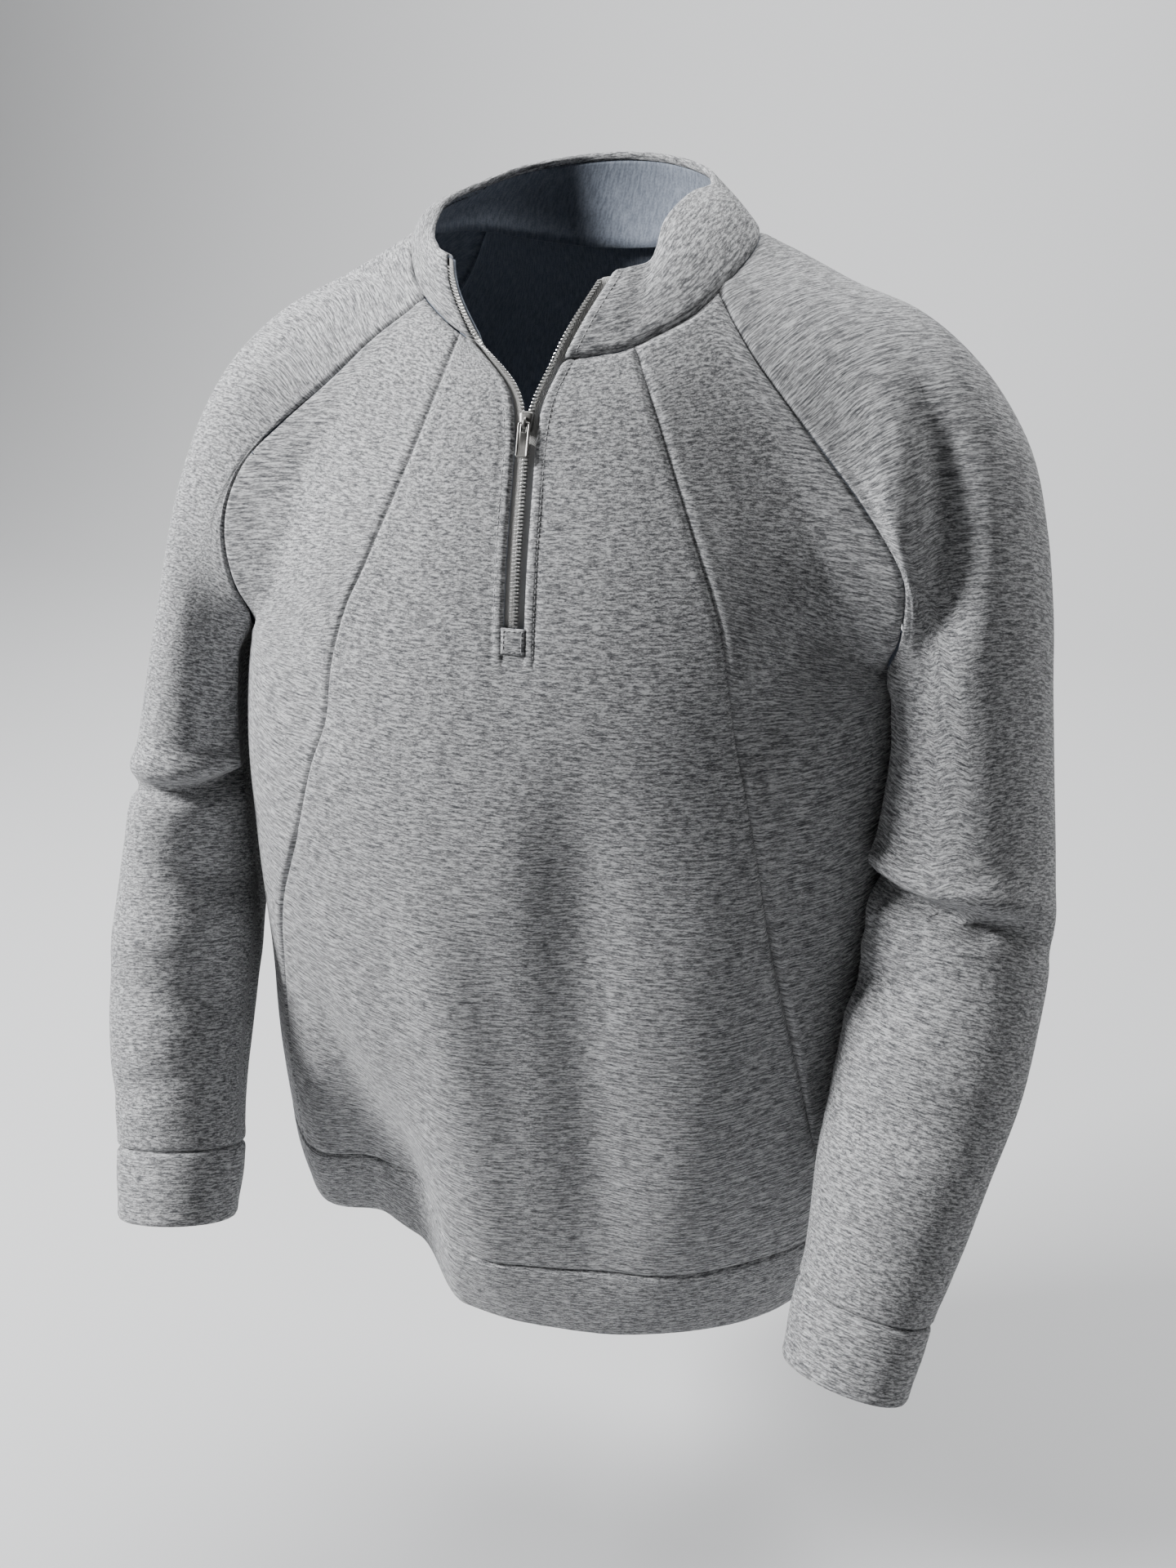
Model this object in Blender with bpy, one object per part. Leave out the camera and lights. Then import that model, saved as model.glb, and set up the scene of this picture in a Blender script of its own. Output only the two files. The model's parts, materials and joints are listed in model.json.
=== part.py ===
"""A worn half-zip sweatshirt with a stand collar and raglan sleeves.

The garment keeps the hollow form and pose that it has on a standing figure.
+X is the wearer's left, -Y the front, +Z up, in metres. The origin is in the
middle of the neck, level with the side of the collar seam.

One field gives the outer surface of the whole garment: a torso of stacked
oval sections, joined smoothly to two arm tubes. Every cloth piece is a grid
of points on that surface, thickened inwards. Folds move the surface in or out.
"""

import math

import bmesh
import bpy
import numpy as np

# ---------------------------------------------------------------- sizes

CLOTH = 0.0019          # wall of the body and sleeves
RIB = 0.0021            # wall of the hem band and cuffs
COLLAR_WALL = 0.0016    # each of the collar's two layers
SEAM_GAP = 0.0003       # between neighbouring pieces
LAYER_GAP = 0.0003      # between pieces that lie on each other

HEM_SEAM_Z = -0.627     # height of the hem seam, front middle
HEM_BOTTOM_Z = -0.693   # height of the hem's lower edge
UNDERARM_Z = -0.232     # height where sleeve, side and back meet
ARMPIT_Z = -0.208       # below this a sleeve lies against the torso
ARMPIT_BLEND = 0.030    # height over which it comes away from the torso
ZIP_BOTTOM_Z = -0.175   # lower end of the zip's opening
SLIDER_Z = -0.076       # height of the slider
ZIP_HALF_GAP = 0.0056   # from the middle of the teeth to the cloth's edge
ZIP_END_GAP = 0.0008    # from the opening's lower end to the teeth

TAPE_WIDTH = 0.0125     # one zip tape, from the teeth outwards
TAPE_WALL = 0.0010
TEETH_WIDTH = 0.0021    # one side's row of teeth
TEETH_HEIGHT = 0.0030
TEETH_UNDER_FACE = 0.0006   # teeth's top, under the cloth's outer face
SLIDER_LENGTH = 0.0095
SLIDER_WIDE = 0.0072    # at its upper end
SLIDER_NARROW = 0.0060
SLIDER_PLATE = 0.0014
BRIDGE_WIDTH = 0.0016   # the arch that holds the pull
BRIDGE_POST = 0.0012
BRIDGE_HALF_SPAN = 0.0022
BRIDGE_HEIGHT = 0.0024  # clear height under the arch
BRIDGE_BAR = 0.0008
BRIDGE_DOWN = 0.0014    # the arch's middle, below the slider's middle
PULL_AXIS = 0.0012      # pull's axis above the slider's plate
PULL_WIDTH = 0.0064
PULL_LENGTH = 0.0175
PULL_WALL = 0.0012
PULL_SLOT_WIDTH = 0.0024
PULL_SLOT_END = 0.0046
PATCH_LENGTH = 0.0135   # small cloth patch over the zip's lower end
PATCH_WIDTH = 0.0125
PATCH_WALL = 0.0010
PLACKET_WIDTH = 0.021   # strip of facing behind each zip tape
PLACKET_WALL = 0.0012

OVAL = 2.15             # exponent of the torso's oval sections

# Torso sections, from the neck down.
# height, half width, depth in front, depth behind, middle y, middle x
TORSO = (
    (0.030, 0.066, 0.055, 0.070, 0.010, 0.000),
    (0.000, 0.085, 0.074, 0.080, 0.008, 0.000),
    (-0.030, 0.107, 0.096, 0.094, 0.004, 0.000),
    (-0.060, 0.133, 0.112, 0.107, 0.000, 0.000),
    (-0.100, 0.163, 0.128, 0.118, 0.000, -0.001),
    (-0.150, 0.189, 0.144, 0.126, 0.000, -0.003),
    (-0.210, 0.208, 0.154, 0.126, 0.000, -0.006),
    (-0.280, 0.217, 0.157, 0.122, 0.000, -0.010),
    (-0.360, 0.219, 0.155, 0.118, 0.000, -0.012),
    (-0.450, 0.220, 0.151, 0.118, 0.000, -0.013),
    (-0.540, 0.223, 0.147, 0.120, 0.000, -0.013),
    (-0.630, 0.222, 0.142, 0.120, 0.000, -0.012),
    (-0.720, 0.208, 0.133, 0.112, 0.000, -0.010),
)

# Middle lines of the arms, from inside the shoulder to the cuff's end.
# x, y, z, radius sideways, radius front to back
ARM_LEFT = (
    (0.040, 0.004, -0.060, 0.050, 0.058),
    (0.100, 0.004, -0.063, 0.056, 0.066),
    (0.152, 0.002, -0.082, 0.060, 0.074),
    (0.189, -0.004, -0.119, 0.062, 0.078),
    (0.214, -0.010, -0.178, 0.056, 0.078),
    (0.228, -0.020, -0.245, 0.052, 0.074),
    (0.236, -0.034, -0.313, 0.056, 0.070),
    (0.243, -0.053, -0.383, 0.057, 0.066),
    (0.239, -0.081, -0.447, 0.055, 0.060),
    (0.229, -0.110, -0.505, 0.051, 0.055),
    (0.221, -0.138, -0.556, 0.044, 0.047),
    (0.2157, -0.152, -0.5825, 0.041, 0.042),
    (0.2087, -0.178, -0.6215, 0.039, 0.040),
)
ARM_RIGHT = (
    (-0.040, 0.004, -0.055, 0.050, 0.058),
    (-0.100, 0.004, -0.058, 0.055, 0.066),
    (-0.153, 0.002, -0.078, 0.052, 0.074),
    (-0.187, -0.004, -0.113, 0.051, 0.078),
    (-0.216, -0.010, -0.170, 0.047, 0.078),
    (-0.241, -0.018, -0.240, 0.041, 0.074),
    (-0.258, -0.030, -0.313, 0.042, 0.070),
    (-0.2715, -0.047, -0.383, 0.045, 0.066),
    (-0.2725, -0.076, -0.447, 0.047, 0.060),
    (-0.269, -0.106, -0.503, 0.046, 0.055),
    (-0.261, -0.133, -0.549, 0.044, 0.047),
    (-0.256, -0.147, -0.5735, 0.043, 0.042),
    (-0.2505, -0.173, -0.6145, 0.041, 0.040),
)
CUFF_STATION = 11.0     # row of the tables above where the cuff's seam lies
SLEEVE_STATION = 6.0    # row below which the sleeve is a tube of its own

BLEND = 0.060           # radius of the blend between arm and torso
BLEND_TOP = -0.150      # full blend above this height
BLEND_BOTTOM = -0.236   # no blend below this height
SLEEVE_CLEARANCE = 0.0065   # least gap from a hanging sleeve to the torso

# Collar seam from the wearer's left front edge round the back to the right.
# x, y, z
NECK_SEAM = (
    (0.0150, -0.1020, -0.0490),
    (0.0330, -0.0990, -0.0462),
    (0.0490, -0.0943, -0.0418),
    (0.0752, -0.0755, -0.0272),
    (0.0918, -0.0462, -0.0080),
    (0.0960, -0.0150, 0.0015),
    (0.0880, 0.0250, 0.0050),
    (0.0650, 0.0560, 0.0030),
    (0.0350, 0.0740, 0.0010),
    (0.0000, 0.0800, 0.0000),
    (-0.0350, 0.0740, 0.0010),
    (-0.0630, 0.0560, 0.0030),
    (-0.0830, 0.0270, 0.0040),
    (-0.0900, -0.0080, 0.0010),
    (-0.0860, -0.0380, -0.0060),
    (-0.0730, -0.0690, -0.0200),
    (-0.0560, -0.0850, -0.0310),
    (-0.0427, -0.0934, -0.0383),
    (-0.0340, -0.0965, -0.0415),
)
# Collar's top edge, station for station. x, y, z
COLLAR_TOP = (
    (0.0330, -0.0760, -0.0090),
    (0.0420, -0.0700, -0.0070),
    (0.0490, -0.0590, -0.0035),
    (0.0513, -0.0430, 0.0125),
    (0.0560, -0.0240, 0.0225),
    (0.0600, 0.0000, 0.0290),
    (0.0650, 0.0290, 0.0330),
    (0.0560, 0.0600, 0.0400),
    (0.0310, 0.0830, 0.0465),
    (0.0000, 0.0890, 0.0490),
    (-0.0330, 0.0840, 0.0470),
    (-0.0620, 0.0660, 0.0410),
    (-0.0790, 0.0400, 0.0330),
    (-0.0850, 0.0080, 0.0245),
    (-0.0830, -0.0160, 0.0150),
    (-0.0770, -0.0400, 0.0080),
    (-0.0690, -0.0580, 0.0030),
    (-0.0620, -0.0700, 0.0000),
    (-0.0550, -0.0770, -0.0020),
)
COLLAR_BULGE = 0.004    # how far the collar stands out halfway up
COLLAR_START = 0.0016   # the collar's lower edge, above the collar seam
FACING_SHORT = 2        # grid columns by which the facing stops short of the zip

NECK_PRINCESS_LEFT = 2      # stations of the collar seam where other seams end
NECK_RAGLAN_LEFT = 3.5
NECK_BACK_LEFT = 6.6
NECK_BACK_RIGHT = 11.4
NECK_RAGLAN_RIGHT = 15.2
NECK_PRINCESS_RIGHT = 17

# Princess seams, from the collar seam to the hem. x, z
PRINCESS_LEFT = (
    (0.049, -0.0418), (0.0634, -0.0722), (0.0767, -0.1034), (0.090, -0.1352), (0.1028, -0.1687),
    (0.1113, -0.2067), (0.1195, -0.2481), (0.1279, -0.2933), (0.1367, -0.3431),
    (0.1522, -0.4184), (0.1697, -0.504), (0.183, -0.570), (0.192, -0.635),
)
PRINCESS_RIGHT = (
    (-0.0427, -0.0383), (-0.0519, -0.0651), (-0.0634, -0.0929), (-0.0757, -0.1217),
    (-0.0895, -0.152), (-0.1058, -0.1847), (-0.1175, -0.2267), (-0.1327, -0.2737),
    (-0.153, -0.3285), (-0.176, -0.3821), (-0.190, -0.450), (-0.198, -0.540), (-0.203, -0.635),
)
# Raglan seams below the collar seam, in front and behind. x, y, z
RAGLAN_FRONT_LEFT = (
    (0.1029, -0.0751, -0.0421), (0.1218, -0.0811, -0.0639), (0.1404, -0.0835, -0.0863),
    (0.1591, -0.0853, -0.1091), (0.1775, -0.0871, -0.1322), (0.192, -0.087, -0.158),
    (0.194, -0.075, -0.196), (0.1985, -0.042, -0.222),
)
RAGLAN_FRONT_RIGHT = (
    (-0.085, -0.0747, -0.0306), (-0.104, -0.0787, -0.047), (-0.1248, -0.0803, -0.0641),
    (-0.1472, -0.0803, -0.0821), (-0.1685, -0.0825, -0.1004), (-0.189, -0.0845, -0.124),
    (-0.199, -0.083, -0.160), (-0.201, -0.074, -0.200), (-0.209, -0.042, -0.224),
)
RAGLAN_BACK = (
    (0.0980, 0.0640, -0.0300), (0.1300, 0.0740, -0.0600), (0.1550, 0.0800, -0.0950),
    (0.1750, 0.0820, -0.1350), (0.1870, 0.0740, -0.1750), (0.1930, 0.0560, -0.2080),
    (0.2010, 0.0300, -0.2260),
)
UNDERARM_LEFT = (0.2045, 0.0000, UNDERARM_Z)
UNDERARM_RIGHT = (-0.2185, 0.0000, UNDERARM_Z)
SIDE_SEAM_Y = 0.022     # the side seam runs this far behind the middle

# Open part of the zip: the cloth's edge above the slider. x, z
ZIP_EDGE_LEFT = (
    (ZIP_HALF_GAP, ZIP_BOTTOM_Z), (ZIP_HALF_GAP, -0.120), (ZIP_HALF_GAP, -0.090),
    (0.0064, -0.0740), (0.0095, -0.0600), (0.0150, -0.0490),
)
ZIP_EDGE_RIGHT = (
    (-ZIP_HALF_GAP, ZIP_BOTTOM_Z), (-ZIP_HALF_GAP, -0.120), (-ZIP_HALF_GAP, -0.090),
    (-0.0074, -0.0720), (-0.0150, -0.0555), (-0.0340, -0.0415),
)

# Folds of the body. Each is a soft ridge (+) or trough (-) along a line.
# x, z of one end, x, z of the other, half width, height, +1 front or -1 back
BODY_FOLDS = (
    (0.030, -0.250, 0.045, -0.640, 0.030, -0.0050, 1),
    (-0.055, -0.330, -0.030, -0.660, 0.026, 0.0060, 1),
    (0.115, -0.300, 0.100, -0.600, 0.028, 0.0050, 1),
    (0.150, -0.170, 0.120, -0.250, 0.018, -0.0050, 1),
    (-0.165, -0.180, -0.120, -0.260, 0.020, -0.0050, 1),
    (-0.060, -0.200, -0.075, -0.640, 0.035, 0.0060, -1),
    (0.070, -0.180, 0.060, -0.640, 0.035, 0.0060, -1),
    (0.000, -0.260, 0.005, -0.640, 0.030, -0.0060, -1),
    (0.165, -0.170, 0.110, -0.300, 0.020, -0.0050, -1),
    (-0.165, -0.170, -0.115, -0.300, 0.020, -0.0050, -1),
)
# The low front on the wearer's right falls back behind the rest.
SAG_DEPTH = 0.038
SAG_X = (-0.055, -0.112)    # none at the first, full at the second
SAG_SIDE_X = (-0.200, -0.140)
SAG_Z = (-0.440, -0.640)

# Folds of a sleeve. along the arm (row of its table), turn round it in degrees
# (0 towards the body, 90 in front, 180 outside), half length, half width,
# tilt in degrees, height
SLEEVE_FOLDS = (
    (7.7, 60.0, 0.050, 0.012, 8.0, -0.0070),
    (8.4, 50.0, 0.040, 0.012, -10.0, 0.0040),
    (6.9, 70.0, 0.040, 0.014, 14.0, 0.0030),
    (9.6, 100.0, 0.035, 0.010, 12.0, -0.0030),
    (4.6, 75.0, 0.050, 0.016, 60.0, -0.0060),
    (4.2, 115.0, 0.045, 0.014, 62.0, 0.0050),
    (5.4, 285.0, 0.045, 0.016, -50.0, -0.0050),
    (8.0, 265.0, 0.040, 0.016, 10.0, 0.0040),
)

# Grid cells of the pieces
FRONT_COLUMNS = 9       # on each side of the zip
ROWS_BELOW = 13         # rows of the body's panels below the underarm
ROWS_BESIDE = 2         # from there to the zip's lower end
ROWS_ABOVE = 7          # from there to the collar
SIDE_COLUMNS = 6
BACK_COLUMNS = 20
SLEEVE_TOP = 8          # along the collar seam
SLEEVE_CAP_ROWS = 9
SLEEVE_ROWS = 12
FRONT_MIDDLE = FRONT_COLUMNS + 1    # first column on the wearer's left of the zip
FRONT_LAST = 2 * FRONT_COLUMNS + 1
FRONT_PARTS = {             # first and last row, first and last column of each part
    "low_right": (0, 7, 0, FRONT_MIDDLE),
    "low_left": (0, 7, FRONT_MIDDLE, FRONT_LAST),
    "chest_right": (7, 12, 0, FRONT_MIDDLE),
    "chest_left": (7, 12, FRONT_MIDDLE, FRONT_LAST),
    "zip": (12, 22, 0, FRONT_LAST),
}
SIDE_PARTS = {              # first and last row of each part
    "low": (0, 7),
    "chest": (7, 12),
    "shoulder": (12, 22),
}
SLEEVE_PARTS = {            # first and last row of each of a sleeve's rings
    "cap": (0, 6),
    "upper": (6, 11),
    "elbow": (11, 16),
    "forearm": (16, 21),
}
COLLAR_AROUND = 34
COLLAR_ROWS = 3


# ---------------------------------------------------------------- curves

def smooth_rows(table, places):
    """Rows of a table, read at fractional places along a smooth curve."""
    table = np.asarray(table, float)
    places = np.clip(np.asarray(places, float), 0.0, len(table) - 1.0)
    low = np.clip(places.astype(int), 0, len(table) - 2)
    part = (places - low)[..., None]
    slope = np.gradient(table, axis=0)
    return ((2 * part**3 - 3 * part**2 + 1) * table[low]
            + (part**3 - 2 * part**2 + part) * slope[low]
            + (3 * part**2 - 2 * part**3) * table[low + 1]
            + (part**3 - part**2) * slope[low + 1])


def by_length(points, count):
    """A polyline's points, spread evenly along its length."""
    points = np.asarray(points, float)
    steps = np.linalg.norm(np.diff(points, axis=0), axis=1)
    along = np.concatenate([[0.0], np.cumsum(steps)])
    at = np.linspace(0.0, along[-1], count)
    return np.stack([np.interp(at, along, points[:, k]) for k in range(points.shape[1])], -1)


def dense(table, per_row=12):
    """A table's smooth curve as a fine polyline."""
    return smooth_rows(table, np.linspace(0, len(table) - 1, per_row * (len(table) - 1) + 1))


def ramp(value, start, end):
    """Smooth step from 0 at start to 1 at end."""
    part = np.clip((value - start) / (end - start), 0.0, 1.0)
    return part * part * (3.0 - 2.0 * part)


TORSO_FINE = dense(TORSO)[::-1]


def torso_row(z, column):
    """One column of the torso table at height z."""
    return np.interp(z, TORSO_FINE[:, 0], TORSO_FINE[:, column])


# ---------------------------------------------------------------- surface

def torso_field(p):
    """Distance outside the torso's oval section, sideways."""
    z = p[..., 2]
    x = p[..., 0] - torso_row(z, 5)
    y = p[..., 1] - torso_row(z, 4)
    depth = np.where(y < 0, torso_row(z, 2), torso_row(z, 3))
    size = ((np.abs(x) / torso_row(z, 1))**OVAL + (np.abs(y) / depth)**OVAL)**(1 / OVAL)
    return np.hypot(x, y) * (1.0 - 1.0 / (size + 1e-9))


ROWS_HIGH = ROWS_BESIDE + ROWS_ABOVE
SLEEVE_AROUND = 2 * ROWS_HIGH + SLEEVE_TOP
SLEEVE_CROWDING = 0.45

ARMS = {"left": dense(ARM_LEFT, 6), "right": dense(ARM_RIGHT, 6)}


def arm_frames(side, places):
    """Middle, sideways axis, forward axis and radii at places along an arm."""
    table = ARM_LEFT if side == "left" else ARM_RIGHT
    rows = smooth_rows(table, places)
    at = np.clip(places, 0.05, len(table) - 1.05)
    ahead = smooth_rows(table, at + 0.05)[..., :3]
    behind = smooth_rows(table, at - 0.05)[..., :3]
    run = ahead - behind
    run = run / np.linalg.norm(run, axis=-1, keepdims=True)
    inward = np.array([-1.0 if side == "left" else 1.0, 0.0, 0.0])
    across = inward - run * (run @ inward)[..., None]
    across = across / np.linalg.norm(across, axis=-1, keepdims=True)
    front = np.cross(run, across)
    front = front * np.where(front[..., 1:2] > 0, -1.0, 1.0)
    return rows[..., :3], across, front, rows[..., 3], rows[..., 4]


def arm_near(p, side):
    """Each point's distance outside an arm tube, and its place along the arm."""
    line = ARMS[side]
    start = line[:-1, :3]
    run = line[1:, :3] - start
    length = np.linalg.norm(run, axis=1)
    ahead = run / length[:, None]
    across = np.array([1.0, 0.0, 0.0]) - ahead * ahead[:, 0:1]
    across = across / np.linalg.norm(across, axis=1, keepdims=True)
    front = np.cross(ahead, across)
    away = p[..., None, :] - start
    part = np.clip((away * ahead).sum(-1) / length, 0.0, 1.0)
    off = away - run * part[..., None]
    radii = line[:-1, 3:] + (line[1:, 3:] - line[:-1, 3:]) * part[..., None]
    side_off = (off * across).sum(-1)
    front_off = (off * front).sum(-1)
    end_off = (off * ahead).sum(-1)
    size = np.sqrt((side_off / radii[..., 0])**2 + (front_off / radii[..., 1])**2
                   + (end_off / radii.min(-1))**2) + 1e-9
    outside = np.sqrt(side_off**2 + front_off**2 + end_off**2) * (1.0 - 1.0 / size)
    best = outside.argmin(-1)
    place = (best + np.take_along_axis(part, best[..., None], -1)[..., 0]) / 6.0
    return np.take_along_axis(outside, best[..., None], -1)[..., 0], place


def blended(a, b, radius):
    """Smooth union of two distances."""
    near = np.clip(radius - np.abs(a - b), 0.0, None) / radius
    return np.minimum(a, b) - near * near * radius * 0.25


def body_field(p):
    """Distance outside the torso and arms together."""
    radius = BLEND * np.clip(ramp(p[..., 2], BLEND_BOTTOM, BLEND_TOP), 0.05, 1.0)
    whole = torso_field(p)
    for side in ARMS:
        whole = blended(whole, arm_near(p, side)[0], radius)
    return whole


def unit(vectors):
    """Vectors brought to length 1."""
    return vectors / np.linalg.norm(vectors, axis=-1, keepdims=True)


def slope_of(field, p, step=2e-4):
    """A field's gradient."""
    slope = np.empty(p.shape)
    for axis in range(3):
        move = np.zeros(3)
        move[axis] = step
        slope[..., axis] = (field(p + move) - field(p - move)) / (2 * step)
    return slope


def onto(field, p, rounds=7):
    """Points moved straight onto a field's surface."""
    for _ in range(rounds):
        slope = slope_of(field, p)
        square = np.maximum((slope**2).sum(-1), 1e-6)
        p = p - (field(p) / square)[..., None] * slope * 0.9
    return p


def arm_share(p):
    """How much of the arms shows in the body's panels: none below the underarm."""
    return ramp(p[..., 2], ARMPIT_Z, ARMPIT_Z + ARMPIT_BLEND)[..., None]


def body_surface(p):
    """Points on the body's panels."""
    part = arm_share(p)
    return onto(torso_field, p) * (1.0 - part) + onto(body_field, p) * part


def body_out(p):
    """Directions straight out of the body's panels, before their folds."""
    part = arm_share(p)
    out = unit(slope_of(torso_field, p)) * (1.0 - part) + unit(slope_of(body_field, p)) * part
    return unit(out)


def body_folds(p):
    """How far the folds move a point of the body, forwards and outwards."""
    z = p[..., 2]
    facing_front = ramp(-p[..., 1], 0.01, 0.06)
    facing_back = ramp(p[..., 1], 0.01, 0.06)
    out = np.zeros(z.shape)
    for x1, z1, x2, z2, width, height, face in BODY_FOLDS:
        run = np.array([x2 - x1, z2 - z1])
        length = np.hypot(*run)
        ahead = run / length
        dx = p[..., 0] - x1
        dz = z - z1
        along = (dx * ahead[0] + dz * ahead[1]) / length
        beside = dx * ahead[1] - dz * ahead[0]
        fade = ramp(along, -0.15, 0.25) * ramp(along, 1.15, 0.75)
        side = facing_front if face > 0 else facing_back
        out += height * fade * side * np.exp(-(beside / width)**2)
    sag = (SAG_DEPTH * facing_front * ramp(p[..., 0], *SAG_X)
           * ramp(p[..., 0], *SAG_SIDE_X) * ramp(z, *SAG_Z))
    return out, sag


def body_shape(p):
    """Points of the body's surface with its folds."""
    out, sag = body_folds(p)
    moved = p + unit(slope_of(torso_field, p)) * out[..., None]
    moved[..., 1] += sag
    return moved


def body_normals(p):
    """Normals of the folded body, from steps along the plain one."""
    plain = body_out(p)
    upright = np.array([0.0, 0.0, 1.0])
    level = np.array([0.0, 1.0, 0.0])
    first = unit(np.cross(plain, np.where(np.abs(plain[..., 2:3]) < 0.8, upright, level)))
    second = np.cross(plain, first)
    step = 0.002
    return unit(np.cross(body_shape(p + first * step) - body_shape(p - first * step),
                         body_shape(p + second * step) - body_shape(p - second * step)))


# ---------------------------------------------------------------- meshes

def material_of(name, colour, roughness, metallic):
    """A Principled material with one colour."""
    material = bpy.data.materials.new(name)
    material.use_nodes = True
    shader = material.node_tree.nodes["Principled BSDF"]
    shader.inputs["Base Color"].default_value = (*colour, 1.0)
    shader.inputs["Roughness"].default_value = roughness
    shader.inputs["Metallic"].default_value = metallic
    material.diffuse_color = (*colour, 1.0)
    return material


def finished(mesh, name, material, parent):
    """The object of a mesh, in the garment's collection."""
    mesh.materials.append(material)
    mesh.shade_smooth()
    mesh.set_sharp_from_angle(angle=math.radians(50))
    part = bpy.data.objects.new(name, mesh)
    bpy.data.collections["half_zip_sweatshirt"].objects.link(part)
    part.parent = parent
    return part


def wall(name, outer, inner, material, parent, present=None, ring=False):
    """A closed wall between two grids of points, open where cells are absent."""
    rows, columns = outer.shape[:2]
    cell_columns = columns if ring else columns - 1
    if present is None:
        present = np.ones((rows - 1, cell_columns), bool)
    built = bmesh.new()
    used = np.zeros((rows, columns), bool)
    for row in range(rows - 1):
        for column in range(cell_columns):
            if present[row, column]:
                used[row:row + 2, [column, (column + 1) % columns]] = True
    points = {}
    for layer, grid in (("out", outer), ("in", inner)):
        for row, column in zip(*np.nonzero(used)):
            points[layer, row, column] = built.verts.new(grid[row, column])

    def has(row, column):
        if ring:
            column %= cell_columns
        return 0 <= row < rows - 1 and 0 <= column < cell_columns and present[row, column]

    for row in range(rows - 1):
        for column in range(cell_columns):
            if not present[row, column]:
                continue
            after = (column + 1) % columns
            corners = [(row, column), (row, after), (row + 1, after), (row + 1, column)]
            built.faces.new([points["out", r, c] for r, c in corners])
            built.faces.new([points["in", r, c] for r, c in reversed(corners)])
            beyond = (has(row - 1, column), has(row, column + 1),
                      has(row + 1, column), has(row, column - 1))
            for edge in range(4):
                if not beyond[edge]:
                    a, b = corners[edge], corners[(edge + 1) % 4]
                    built.faces.new([points["out", *b], points["out", *a],
                                     points["in", *a], points["in", *b]])
    bmesh.ops.recalc_face_normals(built, faces=built.faces)
    bmesh.ops.triangulate(built, faces=built.faces)
    mesh = bpy.data.meshes.new(name)
    built.to_mesh(mesh)
    built.free()
    return finished(mesh, name, material, parent)


def trimmed(grid, amount, sides="lrbt"):
    """A grid pulled back from its named edges by half a seam."""
    grid = grid.copy()
    edges = {"l": (np.s_[:, 0], np.s_[:, 1]), "r": (np.s_[:, -1], np.s_[:, -2]),
             "b": (np.s_[0], np.s_[1]), "t": (np.s_[-1], np.s_[-2])}
    source = grid.copy()
    for side in sides:
        edge, inner = edges[side]
        step = source[inner] - source[edge]
        grid[edge] += step / np.linalg.norm(step, axis=-1, keepdims=True) * amount
    return grid


def body_wall(name, base, thickness, material, parent, present=None, ring=False, depth=0.0):
    """A wall on the body's surface, its outside `depth` under it."""
    face = body_shape(base)
    normal = body_normals(base)
    return wall(name, face - normal * depth, face - normal * (depth + thickness),
                material, parent, present, ring)


# ---------------------------------------------------------------- seams

def front_y(x, z):
    """The front of the torso's oval at x and z."""
    across = np.clip(np.abs(x - torso_row(z, 5)) / torso_row(z, 1), 0.0, 0.995)
    return torso_row(z, 4) - torso_row(z, 2) * (1.0 - across**OVAL)**(1 / OVAL)


NECK_LINE = onto(body_field, dense(NECK_SEAM))


def neck_between(first, last, count):
    """Points of the collar seam between two of its stations."""
    places = np.linspace(first, last, 60) * 12.0
    low = np.clip(places.astype(int), 0, len(NECK_LINE) - 2)
    part = (places - low)[:, None]
    return by_length(NECK_LINE[low] * (1 - part) + NECK_LINE[low + 1] * part, count)


def neck_point(station):
    """One point of the collar seam."""
    return neck_between(station, station + 0.001, 2)[0]


def oval_reach(turn, z):
    """How far the torso's oval reaches in the direction of a turn round it."""
    depth = np.where(np.sin(turn) < 0, torso_row(z, 2), torso_row(z, 3))
    return ((np.abs(np.cos(turn)) / torso_row(z, 1))**OVAL
            + (np.abs(np.sin(turn)) / depth)**OVAL)**(-1 / OVAL)


def mirrored(table, sign):
    """A table of points with x turned to the other side for sign -1."""
    return [(sign * x, y, z) for x, y, z in table]


def raglan(side, where):
    """A raglan seam from the collar seam to the underarm, as a fine line."""
    left = side == "left"
    if where == "front":
        place = NECK_RAGLAN_LEFT if left else NECK_RAGLAN_RIGHT
        table = RAGLAN_FRONT_LEFT if left else RAGLAN_FRONT_RIGHT
    else:
        place = NECK_BACK_LEFT if left else NECK_BACK_RIGHT
        table = mirrored(RAGLAN_BACK, 1 if left else -1)
    start = neck_point(place)
    under = UNDERARM_LEFT if left else UNDERARM_RIGHT
    line = body_surface(dense([tuple(start), *table, under]))
    line[0] = start
    return line


def side_line(side, count):
    """The side seam from the underarm down to the hem seam."""
    sign = 1.0 if side == "left" else -1.0
    under = raglan(side, "front")[-1]
    z = np.linspace(UNDERARM_Z, HEM_SEAM_Z, 40)
    y = under[1] + (SIDE_SEAM_Y - under[1]) * ramp(z, UNDERARM_Z, UNDERARM_Z - 0.06)
    reach = np.clip(np.abs(y - torso_row(z, 4)) / torso_row(z, 3), 0.0, 0.99)
    x = torso_row(z, 5) + sign * torso_row(z, 1) * (1.0 - reach**OVAL)**(1 / OVAL)
    points = np.stack([x, y, z], -1)
    points[0] = under
    return by_length(points, count)


# ---------------------------------------------------------------- pieces

def hem_z(x):
    """Height of the hem seam across the body: a little higher at the sides."""
    return HEM_SEAM_Z + 0.30 * x * x


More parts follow.
